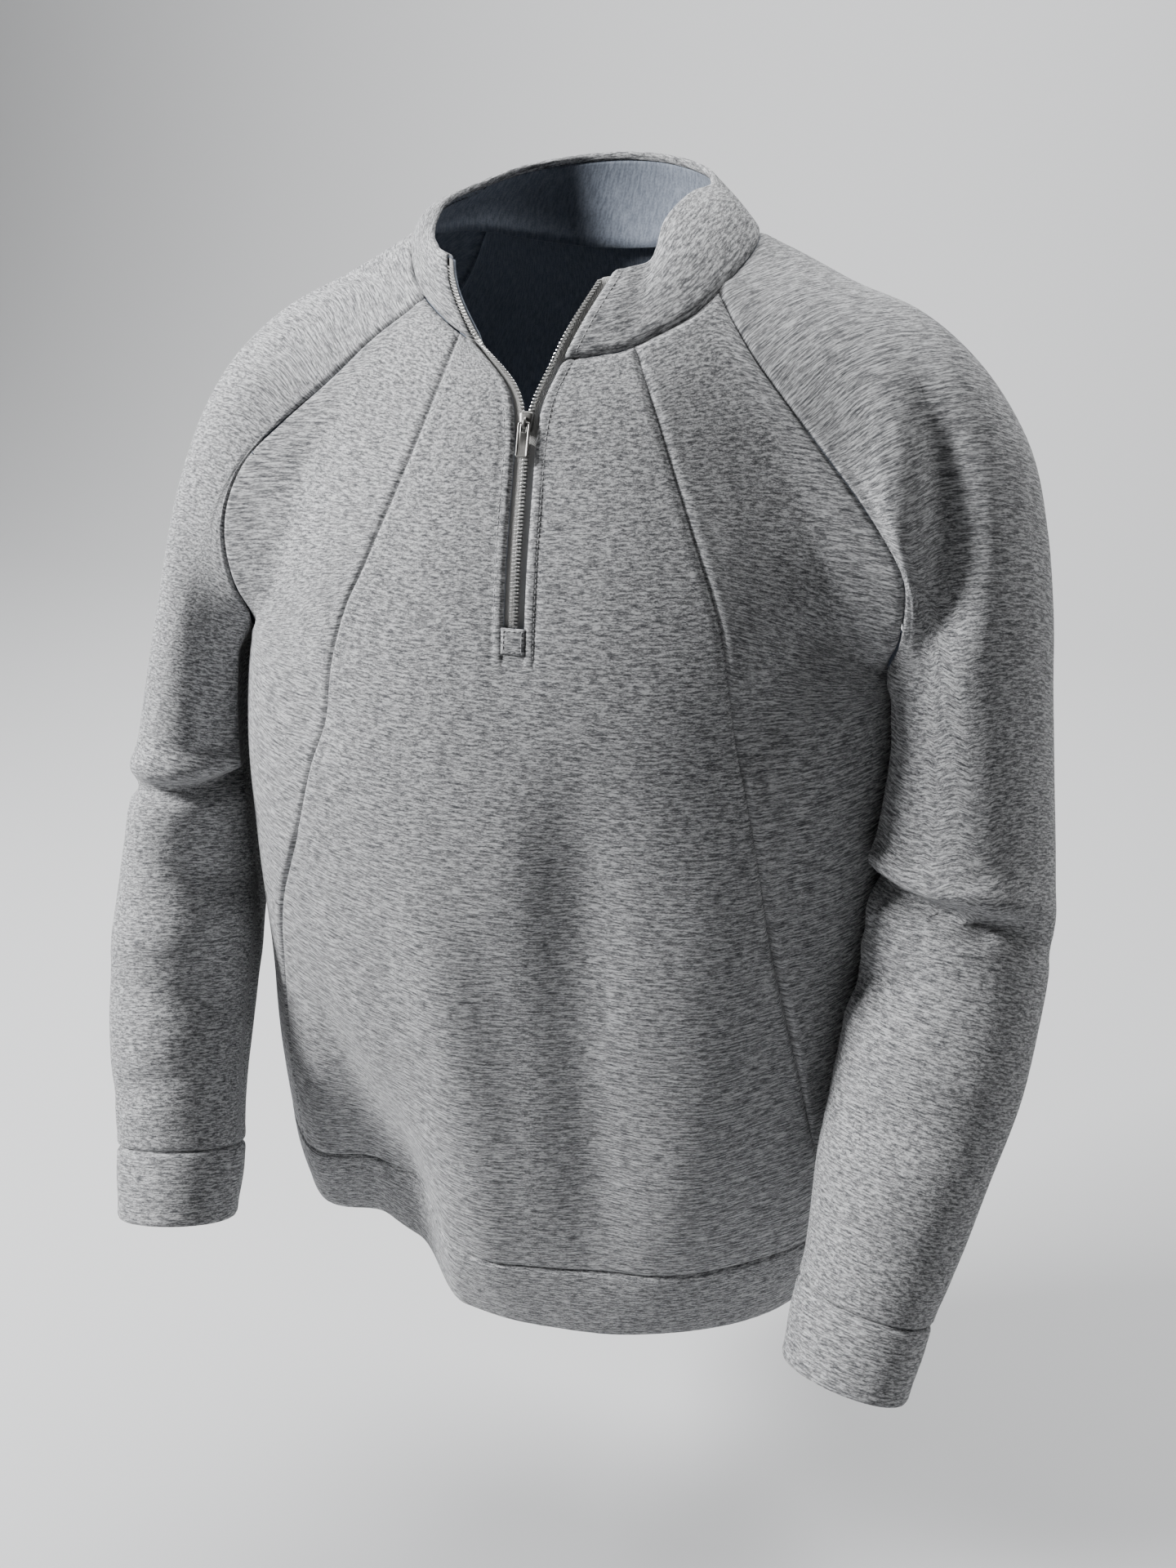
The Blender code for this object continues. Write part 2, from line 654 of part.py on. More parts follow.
def panel_heights(seam_hem, zip_end, seam_top):
    """Heights of the rows on one line of the body, from the hem seam up."""
    return np.concatenate([np.linspace(seam_hem, UNDERARM_Z, ROWS_BELOW + 1),
                           np.linspace(UNDERARM_Z, zip_end, ROWS_BESIDE + 1)[1:],
                           np.linspace(zip_end, seam_top, ROWS_ABOVE + 1)[1:]])


def princess(side):
    """A princess seam from the hem seam up to the collar seam."""
    left = side == "left"
    table = PRINCESS_LEFT if left else PRINCESS_RIGHT
    line = dense(table)[::-1]
    z = panel_heights(hem_z(line[0, 0]), ZIP_BOTTOM_Z, table[0][1])
    x = np.interp(z, line[:, 1], line[:, 0])
    points = body_surface(np.stack([x, front_y(x, z), z], -1))
    points[-1] = neck_point(NECK_PRINCESS_LEFT if left else NECK_PRINCESS_RIGHT)
    return points


def front_grid():
    """Base points of the front panel, with the cells that the zip leaves open."""
    halves = []
    for side in ("right", "left"):
        left = side == "left"
        seam = princess(side)
        edge = dense(ZIP_EDGE_LEFT if left else ZIP_EDGE_RIGHT)
        edge_z = panel_heights(HEM_SEAM_Z, ZIP_BOTTOM_Z, edge[-1, 1])
        edge_x = np.interp(edge_z, edge[:, 1], edge[:, 0])
        part = np.linspace(0.0, 1.0, FRONT_COLUMNS + 1)[None, :]
        x = edge_x[:, None] * (1 - part) + seam[:, 0:1] * part
        z = edge_z[:, None] * (1 - part) + seam[:, 2:3] * part
        level = np.linspace(1.0, 0.0, ROWS_BELOW + 1)[:, None]
        z[:ROWS_BELOW + 1] += (hem_z(x[0]) - z[0])[None, :] * level
        places = (0, NECK_PRINCESS_LEFT) if left else (len(NECK_SEAM) - 1, NECK_PRINCESS_RIGHT)
        top = neck_between(*places, FRONT_COLUMNS + 1)
        x[-1] = top[:, 0]
        z[-1] = top[:, 2]
        half = body_surface(np.stack([x, front_y(x, z), z], -1))
        half[:, -1] = seam
        half[-1] = top
        halves.append(half if left else half[:, ::-1])
    base = np.concatenate(halves, axis=1)
    present = np.ones((len(base) - 1, 2 * FRONT_COLUMNS + 1), bool)
    present[ROWS_BELOW + ROWS_BESIDE:, FRONT_COLUMNS] = False
    return base, present


def between(first, last, columns, back=False):
    """A grid from one seam to another, round the torso at each height."""
    part = np.linspace(0.0, 1.0, columns + 1)[None, :]
    z = first[:, 2:3] * (1 - part) + last[:, 2:3] * part
    turns = []
    for seam in (first, last):
        middle_x = torso_row(seam[:, 2], 5)
        middle_y = torso_row(seam[:, 2], 4)
        turns.append(np.arctan2(seam[:, 1] - middle_y, seam[:, 0] - middle_x))
    start, end = turns[0][:, None], turns[1][:, None]
    if back:
        end = np.where(end < 0, end + 2 * np.pi, end)
    else:
        end = start + (end - start + np.pi) % (2 * np.pi) - np.pi
    turn = start * (1 - part) + end * part
    reach = oval_reach(turn, z)
    grid = np.stack([torso_row(z, 5) + reach * np.cos(turn),
                     torso_row(z, 4) + reach * np.sin(turn), z], -1)
    grid = body_surface(grid)
    grid[:, 0] = first
    grid[:, -1] = last
    return grid


def outer_seams(side, where):
    """A side seam and the raglan seam above it, from the hem seam up."""
    low = side_line(side, ROWS_BELOW + 1)[::-1]
    low[0, 2] = hem_z(low[0, 0])
    high = by_length(raglan(side, where), ROWS_HIGH + 1)[::-1]
    return np.concatenate([low, high[1:]])


def side_grid(side):
    """Base points of a side panel, from the princess seam round to the side seam."""
    grid = between(princess(side), outer_seams(side, "front"), SIDE_COLUMNS)
    places = (NECK_PRINCESS_LEFT, NECK_RAGLAN_LEFT) if side == "left" else \
        (NECK_PRINCESS_RIGHT, NECK_RAGLAN_RIGHT)
    grid[-1] = neck_between(*places, SIDE_COLUMNS + 1)
    return grid


def back_grid():
    """Base points of the back panel, from the left side seam to the right one."""
    grid = between(outer_seams("left", "back"), outer_seams("right", "back"), BACK_COLUMNS, back=True)
    grid[-1] = neck_between(NECK_BACK_LEFT, NECK_BACK_RIGHT, BACK_COLUMNS + 1)
    return grid


def hem_grid():
    """Base points of the hem band, under the panels' own lower points."""
    front = front_grid()[0][0]
    left = side_grid("left")[0]
    back = back_grid()[0]
    right = side_grid("right")[0]
    top = np.concatenate([front[:-1], left[:-1], back[:-1], right[::-1][:-1]])
    rows = []
    for part, inset in ((0.0, 0.0), (0.07, -0.0010), (0.5, -0.0012), (0.94, 0.0006), (1.0, 0.0018)):
        z = top[:, 2] + (HEM_BOTTOM_Z - HEM_SEAM_Z) * part
        turn = np.arctan2(top[:, 1] - torso_row(top[:, 2], 4), top[:, 0] - torso_row(top[:, 2], 5))
        reach = oval_reach(turn, z) - inset
        rows.append(np.stack([torso_row(z, 5) + reach * np.cos(turn),
                              torso_row(z, 4) + reach * np.sin(turn), z], -1))
    return np.array(rows)


def sleeve_turns():
    """Turns of a sleeve's columns, from the underarm round, closer on the outer side."""
    even = np.arange(SLEEVE_AROUND) / SLEEVE_AROUND * 2 * np.pi
    return even + SLEEVE_CROWDING * np.sin(even)


def sleeve_base(side):
    """Base points of a sleeve: raglan edge first, then rings down to the cuff."""
    left = side == "left"
    places = (NECK_RAGLAN_LEFT, NECK_BACK_LEFT) if left else (NECK_RAGLAN_RIGHT, NECK_BACK_RIGHT)
    edge = np.concatenate([by_length(raglan(side, "front"), ROWS_HIGH + 1)[::-1][:-1],
                           neck_between(*places, SLEEVE_TOP + 1)[:-1],
                           by_length(raglan(side, "back"), ROWS_HIGH + 1)[:-1]])
    place = arm_near(edge, side)[1]
    middle, across, forward, wide, deep = arm_frames(side, place)
    off = edge - middle
    turn = np.arctan2((off * forward).sum(-1) / deep, (off * across).sum(-1) / wide)
    goal = sleeve_turns()
    turn = goal + (turn - goal + np.pi) % (2 * np.pi) - np.pi
    rows = [edge]
    for step in np.linspace(0.0, 1.0, SLEEVE_CAP_ROWS + 1)[1:]:
        late = step ** 0.6
        rows.append(arm_point(side, place * (1 - step) + SLEEVE_STATION * step,
                              turn * (1 - late) + goal * late))
    cap = np.array(rows)
    cap[1:] = joined_to_torso(side, cap[1:])
    tube = []
    for station in np.linspace(SLEEVE_STATION, CUFF_STATION, SLEEVE_ROWS + 1)[1:]:
        tube.append(arm_point(side, np.full(SLEEVE_AROUND, station), goal))
    return np.concatenate([cap, np.array(tube)])


def joined_to_torso(side, p):
    """Points of an arm tube, with those above the armpit on the joined surface."""
    share = arm_share(p)
    return p * (1.0 - share) + onto(body_field, p) * share


def arm_point(side, place, turn, out=0.0):
    """Points of an arm tube from their place along it and turn round it."""
    middle, across, forward, wide, deep = arm_frames(side, place)
    return (middle + across * ((wide + out) * np.cos(turn))[..., None]
            + forward * ((deep + out) * np.sin(turn))[..., None])


def sleeve_folds(side, p):
    """Points of a sleeve moved in or out by its folds."""
    place = arm_near(p, side)[1]
    middle, across, forward, wide, deep = arm_frames(side, place)
    off = p - middle
    turn = np.arctan2((off * forward).sum(-1), (off * across).sum(-1))
    row = np.linalg.norm(arm_frames(side, place + 0.5)[0] - arm_frames(side, place - 0.5)[0], axis=-1)
    height = np.zeros(place.shape)
    for at, around, half_length, half_width, tilt, rise in SLEEVE_FOLDS:
        down = (place - at) * row
        aside = ((turn - math.radians(around) + np.pi) % (2 * np.pi) - np.pi) * (wide + deep) / 2
        cosine, sine = math.cos(math.radians(tilt)), math.sin(math.radians(tilt))
        along = aside * cosine + down * sine
        over = down * cosine - aside * sine
        height += rise * np.exp(-(along / half_length)**2 - (over / half_width)**2)
    height *= ramp(place, 3.0, 4.2)
    return p + unit(off) * height[..., None]


def off_torso(p, clear):
    """Points pushed out until they lie `clear` outside the torso."""
    held = 1.0 - arm_share(p)[..., 0]
    for _ in range(4):
        short = np.clip(clear - torso_field(p), 0.0, None) * held
        p = p + unit(slope_of(torso_field, p)) * short[..., None]
    return p


def grid_normals(grid):
    """Outward normals of a ring grid whose rows run down the arm."""
    around = np.roll(grid, -1, axis=1) - np.roll(grid, 1, axis=1)
    down = np.gradient(grid, axis=0)
    normal = np.cross(around, down)
    normal = normal / np.linalg.norm(normal, axis=-1, keepdims=True)
    centre = grid.mean(axis=1, keepdims=True)
    flip = ((grid - centre) * normal).sum(-1).mean() < 0
    return -normal if flip else normal


def sleeve(side, material, parent):
    """One raglan sleeve, from its seams to the cuff, in four rings."""
    base = sleeve_base(side)
    rows = np.arange(len(base))[:, None]
    clear = np.maximum(SLEEVE_CLEARANCE * np.clip(rows, 0.0, 1.0), 2 * SEAM_GAP)
    face = off_torso(sleeve_folds(side, base), clear)
    face[0] = body_shape(off_torso(base[0], 2 * SEAM_GAP))
    normal = grid_normals(face)
    joined = arm_share(base[0])
    normal[0] = unit(body_normals(base[0]) * joined + normal[0] * (1.0 - joined))
    inner = face - normal * CLOTH
    for part, (first, last) in SLEEVE_PARTS.items():
        rings = np.s_[first:last + 1]
        wall(f"sleeve_{side}_{part}", trimmed(face[rings], SEAM_GAP / 2, "bt"),
             trimmed(inner[rings], SEAM_GAP / 2, "bt"), material, parent, ring=True)


def cuff(side, material, parent):
    """A cuff band round the wrist, open at its end."""
    goal = sleeve_turns()
    last = len(ARM_LEFT) - 1
    stations = (CUFF_STATION + 0.005, CUFF_STATION + 0.06, CUFF_STATION + 0.5, last - 0.03, last)
    outs = (0.0, 0.0012, 0.0014, 0.0008, 0.0)
    rows = [arm_point(side, np.full(SLEEVE_AROUND, at), goal, out)
            for at, out in zip(stations, outs)]
    grid = off_torso(sleeve_folds(side, np.array(rows)), SLEEVE_CLEARANCE)
    inner = grid - grid_normals(grid) * RIB
    return wall("cuff_" + side, trimmed(grid, SEAM_GAP / 2, "b"), trimmed(inner, SEAM_GAP / 2, "b"),
                material, parent, ring=True)


def hem_band(material, parent):
    """The double band round the hem."""
    base = trimmed(hem_grid(), SEAM_GAP / 2, "b")
    return body_wall("hem_band", base, RIB, material, parent, ring=True)


def collar_rows(inset, rows=COLLAR_ROWS):
    """Outer points of the collar, `inset` inside its outer face."""
    low = by_length(by_length(NECK_LINE, 400), COLLAR_AROUND + 1)
    place = np.linspace(0.0, 1.0, COLLAR_AROUND + 1)
    fine_low = dense(NECK_SEAM)
    steps = np.concatenate([[0], np.cumsum(np.linalg.norm(np.diff(fine_low, axis=0), axis=1))])
    places = np.interp(place * steps[-1], steps, np.linspace(0, len(NECK_SEAM) - 1, len(fine_low)))
    high = smooth_rows(COLLAR_TOP, places)
    part = np.linspace(0.0, 1.0, rows + 1)[:, None, None]
    grid = low * (1 - part) + high * part
    along = np.gradient(grid, axis=1)
    up = np.gradient(grid, axis=0)
    normal = unit(np.cross(along, up))
    bulge = COLLAR_BULGE * 4 * part * (1 - part)
    return grid + normal * (bulge - inset), normal


def collar(material, facing_material, parent):
    """The stand collar's outer layer, and the facing inside it."""
    start = COLLAR_START
    for name, depth, finish, short in (("collar", 0.0, material, 0),
                                       ("collar_facing", COLLAR_WALL + LAYER_GAP, facing_material,
                                        FACING_SHORT)):
        outer = collar_rows(depth)[0]
        inner = collar_rows(depth + COLLAR_WALL)[0]
        for grid in (outer, inner):
            grid[0] += unit(grid[1] - grid[0]) * start
        columns = np.s_[:, short:COLLAR_AROUND + 1 - short]
        wall(name, outer[columns], inner[columns], finish, parent)


# ---------------------------------------------------------------- zip

def beside_zip(side, reaches):
    """Points and normals of the cloth beside the zip, from the zip's end up.

    The reaches are distances from the teeth's middle into the cloth.
    """
    left = side == "left"
    rows = front_grid()[0][ROWS_BELOW + ROWS_BESIDE:]
    rows = rows[:, FRONT_COLUMNS + 1:] if left else rows[:, FRONT_COLUMNS::-1]
    face, out = body_shape(rows), body_normals(rows)
    high, high_out = collar_rows(0.0)
    if not left:
        high, high_out = high[:, ::-1], high_out[:, ::-1]
    columns = min(face.shape[1], high.shape[1])
    face = np.concatenate([face[:, :columns], high[1:, :columns]])
    met = out[-1, :columns] + high_out[0, :columns]
    out[-1, :columns] = met * 2.0 / (met**2).sum(-1, keepdims=True)
    out = np.concatenate([out[:, :columns], high_out[1:, :columns]])
    points, normals = [], []
    for line, normal in zip(face, out):
        steps = np.linalg.norm(np.diff(line, axis=0), axis=1)
        lengths = ZIP_HALF_GAP + np.concatenate([[0.0], np.cumsum(steps)])
        first = line[0] - (line[1] - line[0]) * ZIP_HALF_GAP / steps[0]
        line = np.vstack([first, line])
        normal = np.vstack([normal[:1], normal])
        lengths = np.concatenate([[0.0], lengths])
        points.append([[np.interp(r, lengths, line[:, k]) for k in range(3)] for r in reaches])
        normals.append([[np.interp(r, lengths, normal[:, k]) for k in range(3)] for r in reaches])
    points = np.array(points)
    points[0] += unit(points[1] - points[0]) * ZIP_END_GAP
    return points, np.array(normals)


def strip(name, side, outline, material, parent):
    """A strip along one side of the zip.

    The outline's points are distances from the teeth's middle into the cloth,
    and out of the cloth's outer face.
    """
    reaches = [across for across, _ in outline]
    raised = np.array([height for _, height in outline])
    points, out = beside_zip(side, reaches)
    grid = points + out * raised[:, None]
    built = bmesh.new()
    verts = [[built.verts.new(p) for p in row] for row in grid]
    around = len(outline)
    for row in range(len(grid) - 1):
        for k in range(around):
            after = (k + 1) % around
            built.faces.new([verts[row][k], verts[row][after],
                             verts[row + 1][after], verts[row + 1][k]])
    built.faces.new(verts[0])
    built.faces.new(verts[-1][::-1])
    bmesh.ops.recalc_face_normals(built, faces=built.faces)
    bmesh.ops.triangulate(built, faces=built.faces)
    mesh = bpy.data.meshes.new(name)
    built.to_mesh(mesh)
    built.free()
    return finished(mesh, name, material, parent)


def zip_strips(tape_material, cloth_material, parent):
    """The tapes with their rows of teeth, and the facing strips behind them."""
    start = SEAM_GAP / 2
    top = -(CLOTH + 3 * LAYER_GAP)
    low = top - TAPE_WALL
    bead_top = -TEETH_UNDER_FACE
    bead_low = bead_top - TEETH_HEIGHT
    tape = ((start, bead_top), (start + TEETH_WIDTH, bead_top), (start + TEETH_WIDTH, top),
            (TAPE_WIDTH, top), (TAPE_WIDTH, low), (start + TEETH_WIDTH, low),
            (start + TEETH_WIDTH, bead_low), (start, bead_low))
    inner = start + TEETH_WIDTH + 0.0012
    middle = (inner + PLACKET_WIDTH) / 2
    face = low - LAYER_GAP
    back = face - PLACKET_WALL
    placket = ((inner, face), (middle, face), (PLACKET_WIDTH, face),
               (PLACKET_WIDTH, back), (middle, back), (inner, back))
    for side in ("left", "right"):
        strip("zip_tape_" + side, side, tape, tape_material, parent)
        strip("zip_facing_" + side, side, placket, cloth_material, parent)


def zip_frame(z):
    """Middle of the zip's front at a height, with its directions up and out."""
    zs = np.array([z + 0.002, z, z - 0.002])
    base = body_surface(np.stack([np.zeros(3), front_y(np.zeros(3), zs), zs], -1))
    line = body_shape(base)
    up = unit(line[0] - line[2])
    out = np.array([0.0, -up[2], up[1]])
    return line[1], up, unit(out)


def placed(name, verts, faces, origin, up, out):
    """A mesh in the zip's own directions: x across, y up along it, z out."""
    across = np.cross(up, out)
    verts = np.asarray(verts, float)
    world = origin + verts[:, :1] * across + verts[:, 1:2] * up + verts[:, 2:] * out
    mesh = bpy.data.meshes.new(name)
    mesh.from_pydata([tuple(p) for p in world], [], faces)
    built = bmesh.new()
    built.from_mesh(mesh)
    bmesh.ops.recalc_face_normals(built, faces=built.faces)
    built.to_mesh(mesh)
    built.free()
    return mesh


def prism(outline, low, high, axes):
    """Vertices and faces of an outline pulled from low to high.

    The axes say where the outline's two values and the height go.
    """
    count = len(outline)
    verts = []
    for height in (low, high):
        for first, second in outline:
            point = [0.0, 0.0, 0.0]
            point[axes[0]], point[axes[1]], point[axes[2]] = first, second, height
            verts.append(point)
    faces = [tuple(range(count)), tuple(range(2 * count - 1, count - 1, -1))]
    faces += [(k, (k + 1) % count, count + (k + 1) % count, count + k) for k in range(count)]
    return verts, faces


def slider(material, parent):
    """The slider's top plate, with the arch that holds its pull."""
    origin, up, out = zip_frame(SLIDER_Z)
    half = SLIDER_LENGTH / 2
    low = -TEETH_UNDER_FACE + LAYER_GAP
    high = low + SLIDER_PLATE
    plate = ((-SLIDER_NARROW / 2, -half), (SLIDER_NARROW / 2, -half),
             (SLIDER_WIDE / 2, half * 0.4), (SLIDER_WIDE / 2, half * 0.8),
             (SLIDER_WIDE / 4, half), (-SLIDER_WIDE / 4, half),
             (-SLIDER_WIDE / 2, half * 0.8), (-SLIDER_WIDE / 2, half * 0.4))
    mesh = placed("zip_slider", *prism(plate, low, high, (0, 1, 2)), origin, up, out)
    body = finished(mesh, "zip_slider", material, parent)
    span = BRIDGE_HALF_SPAN
    post = span + BRIDGE_POST
    top = high + BRIDGE_HEIGHT
    sunk = high - SLIDER_PLATE / 3
    arch = ((-post, sunk), (-post, top), (-span, top + BRIDGE_BAR), (span, top + BRIDGE_BAR),
            (post, top), (post, sunk), (span, sunk), (span, top), (-span, top), (-span, sunk))
    verts, faces = prism(arch, -BRIDGE_WIDTH / 2, BRIDGE_WIDTH / 2, (1, 2, 0))
    verts = [(x, y - BRIDGE_DOWN, z) for x, y, z in verts]
    tool = bpy.data.objects.new("slider_arch", placed("slider_arch", verts, faces, origin, up, out))
    bpy.data.collections["cutters"].objects.link(tool)
    tool.hide_render = True
    tool.display_type = "WIRE"
    join = body.modifiers.new("arch", "BOOLEAN")
    join.operation = "UNION"
    join.object = tool
    return body


def pull_axis_point():
    """The pull's axis, where it hangs in the slider's arch."""
    origin, up, out = zip_frame(SLIDER_Z)
    height = -TEETH_UNDER_FACE + LAYER_GAP + SLIDER_PLATE + PULL_AXIS
    return origin - up * BRIDGE_DOWN + out * height, up, out


def pull(material, parent):
    """The pull tab: a flat bar with a slot that hangs from the arch."""
    origin, up, out = pull_axis_point()
    across = np.cross(up, out)
    columns = (-PULL_WIDTH / 2, -PULL_SLOT_WIDTH / 2, PULL_SLOT_WIDTH / 2, PULL_WIDTH / 2)
    rows = (PULL_WALL / 2, -PULL_WALL / 2, -PULL_SLOT_END, PULL_WALL / 2 - PULL_LENGTH)
    grid = np.array([[across * x + up * y for x in columns] for y in rows])
    present = np.ones((3, 3), bool)
    present[1, 1] = False
    tab = wall("zip_pull", grid + out * PULL_WALL / 2, grid - out * PULL_WALL / 2,
               material, parent, present)
    tab.location = origin
    return tab


def end_patch(material, parent):
    """A small cloth patch over the zip's lower end, lying on the front."""
    x = np.linspace(-PATCH_WIDTH / 2, PATCH_WIDTH / 2, 3)[None, :]
    z = np.linspace(ZIP_BOTTOM_Z - PATCH_LENGTH, ZIP_BOTTOM_Z - SEAM_GAP, 4)[:, None]
    x, z = np.broadcast_arrays(x, z)
    base = body_surface(np.stack([x, front_y(x, z), z], -1))
    return body_wall("zip_end_patch", base, PATCH_WALL, material, parent,
                     depth=-(PATCH_WALL + 2 * LAYER_GAP))


def main():
    """Builds the garment."""
    for old in list(bpy.data.objects):
        bpy.data.objects.remove(old, do_unlink=True)
    collection = bpy.data.collections.new("half_zip_sweatshirt")
    bpy.context.scene.collection.children.link(collection)
    bpy.context.scene.collection.children.link(bpy.data.collections.new("cutters"))
    root = bpy.data.objects.new("garment", None)
    collection.objects.link(root)

    cloth = material_of("heather_cloth", (0.33, 0.33, 0.34), 0.9, 0.0)
    facing = material_of("facing_cloth", (0.20, 0.23, 0.28), 0.9, 0.0)

    base, present = front_grid()
    for part, (first, last, low, high) in FRONT_PARTS.items():
        cells = np.s_[first:last, low:high]
        piece = trimmed(base[first:last + 1, low:high + 1], SEAM_GAP / 2)
        body_wall("front_panel_" + part, piece, CLOTH, cloth, root, present[cells])
    for side in ("left", "right"):
        panel = side_grid(side)
        for part, (first, last) in SIDE_PARTS.items():
            piece = trimmed(panel[first:last + 1], SEAM_GAP / 2)
            body_wall(f"side_front_{side}_{part}", piece, CLOTH, cloth, root)
    body_wall("back_panel", trimmed(back_grid(), SEAM_GAP / 2), CLOTH, cloth, root)
    hem_band(cloth, root)
    for side in ("left", "right"):
        sleeve(side, cloth, root)
        cuff(side, cloth, root)
    collar(cloth, facing, root)
    tape = material_of("zip_tape", (0.62, 0.62, 0.61), 0.8, 0.0)
    zip_strips(tape, facing, root)
    end_patch(cloth, root)
    metal = material_of("brushed_nickel", (0.55, 0.54, 0.52), 0.35, 1.0)
    slider(metal, root)
    pull(metal, root)


if __name__ == "__main__":
    main()
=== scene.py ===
"""Looks of a worn half-zip sweatshirt with a stand collar and raglan sleeves.

The cloth pieces are grids of points on one smooth form: a torso of stacked
oval sections joined to two arm tubes. Each grid is drawn out finely, folded,
sunk along its seams and thickened into a shell. +X is the wearer's left,
-Y the front and +Z up, in metres.
"""

import json
import logging
import math
from collections.abc import Callable, Sequence
from dataclasses import dataclass, field
from enum import Enum

import bmesh
import bpy
import numpy as np
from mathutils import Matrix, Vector, noise


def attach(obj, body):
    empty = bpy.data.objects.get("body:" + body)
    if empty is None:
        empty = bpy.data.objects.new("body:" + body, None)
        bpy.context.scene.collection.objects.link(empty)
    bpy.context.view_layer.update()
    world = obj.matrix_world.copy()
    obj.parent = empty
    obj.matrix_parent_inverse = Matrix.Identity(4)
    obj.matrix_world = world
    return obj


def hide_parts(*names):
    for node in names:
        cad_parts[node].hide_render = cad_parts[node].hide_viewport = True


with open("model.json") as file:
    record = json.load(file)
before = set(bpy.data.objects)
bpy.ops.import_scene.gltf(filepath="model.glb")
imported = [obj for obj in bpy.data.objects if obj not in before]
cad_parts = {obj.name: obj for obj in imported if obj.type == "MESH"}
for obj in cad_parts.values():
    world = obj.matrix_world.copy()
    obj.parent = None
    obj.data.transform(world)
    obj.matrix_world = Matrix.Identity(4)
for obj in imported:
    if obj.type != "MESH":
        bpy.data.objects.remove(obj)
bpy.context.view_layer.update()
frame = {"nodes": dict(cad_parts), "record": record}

LOG = logging.getLogger("half_zip")
Points = np.ndarray
GARMENT_BODY = "garment"
PULL_BODY = "pull_tab"


class Side(Enum):
    """Side of the garment, as the wearer has it."""

    LEFT = 1
    RIGHT = -1

    @property
    def word(self) -> str:
        """The side's name in the names of pieces."""
        return self.name.lower()


class Face(Enum):
    """Face of the body that a fold lies on."""

    FRONT = 1
    BACK = -1


# ---------------------------------------------------------------- curves

def smooth_rows(table: Sequence | Points, places: Points) -> Points:
    """Reads a table along a smooth curve through its rows.

    Args:
        table: Rows of numbers, or of whole grid lines.
        places: Fractional row numbers.

    Returns:
        One interpolated row for each place.
    """
    rows = np.asarray(table, float)
    at = np.clip(np.asarray(places, float), 0.0, len(rows) - 1.0)
    low = np.clip(at.astype(int), 0, len(rows) - 2)
    part = (at - low).reshape(at.shape + (1,) * (rows.ndim - 1))
    slope = np.gradient(rows, axis=0)
    return ((2 * part**3 - 3 * part**2 + 1) * rows[low]
            + (part**3 - 2 * part**2 + part) * slope[low]
            + (3 * part**2 - 2 * part**3) * rows[low + 1]
            + (part**3 - part**2) * slope[low + 1])


def lengths_along(points: Points) -> Points:
    """Distance along a polyline at each of its points."""
    steps = np.linalg.norm(np.diff(points, axis=0), axis=-1)
    return np.concatenate([np.zeros((1,) + steps.shape[1:]), np.cumsum(steps, axis=0)])


def by_length(points: Points, count: int) -> Points:
    """Spreads a polyline's points evenly along its length."""
    along = lengths_along(points)
    at = np.linspace(0.0, along[-1], count)
    return np.stack([np.interp(at, along, points[:, k]) for k in range(points.shape[1])], -1)


def dense(table: Sequence | Points, per_row: int = 12) -> Points:
    """A table's smooth curve as a fine polyline."""
    return smooth_rows(table, np.linspace(0, len(table) - 1, per_row * (len(table) - 1) + 1))


def ramp(value: Points | float, start: float, end: float) -> Points:
    """Smooth step from 0 at start to 1 at end."""
    part = np.clip((np.asarray(value, float) - start) / (end - start), 0.0, 1.0)
    return part * part * (3.0 - 2.0 * part)


def unit(vectors: Points) -> Points:
    """Vectors brought to length 1."""
    return vectors / np.maximum(np.linalg.norm(vectors, axis=-1, keepdims=True), 1e-12)


def slope_of(measure: Callable[[Points], Points], p: Points, step: float = 2e-4) -> Points:
    """Gradient of a distance at points."""
    slope = np.empty(p.shape)
    for axis in range(3):
        move = np.zeros(3)
        move[axis] = step
        slope[..., axis] = (measure(p + move) - measure(p - move)) / (2 * step)
    return slope


def onto(measure: Callable[[Points], Points], p: Points, rounds: int = 7) -> Points:
    """Moves points straight onto the surface where a distance is zero."""
    for _ in range(rounds):
        slope = slope_of(measure, p)
        square = np.maximum((slope**2).sum(-1), 1e-6)
        p = p - (measure(p) / square)[..., None] * slope * 0.9
    return p


# ---------------------------------------------------------------- form

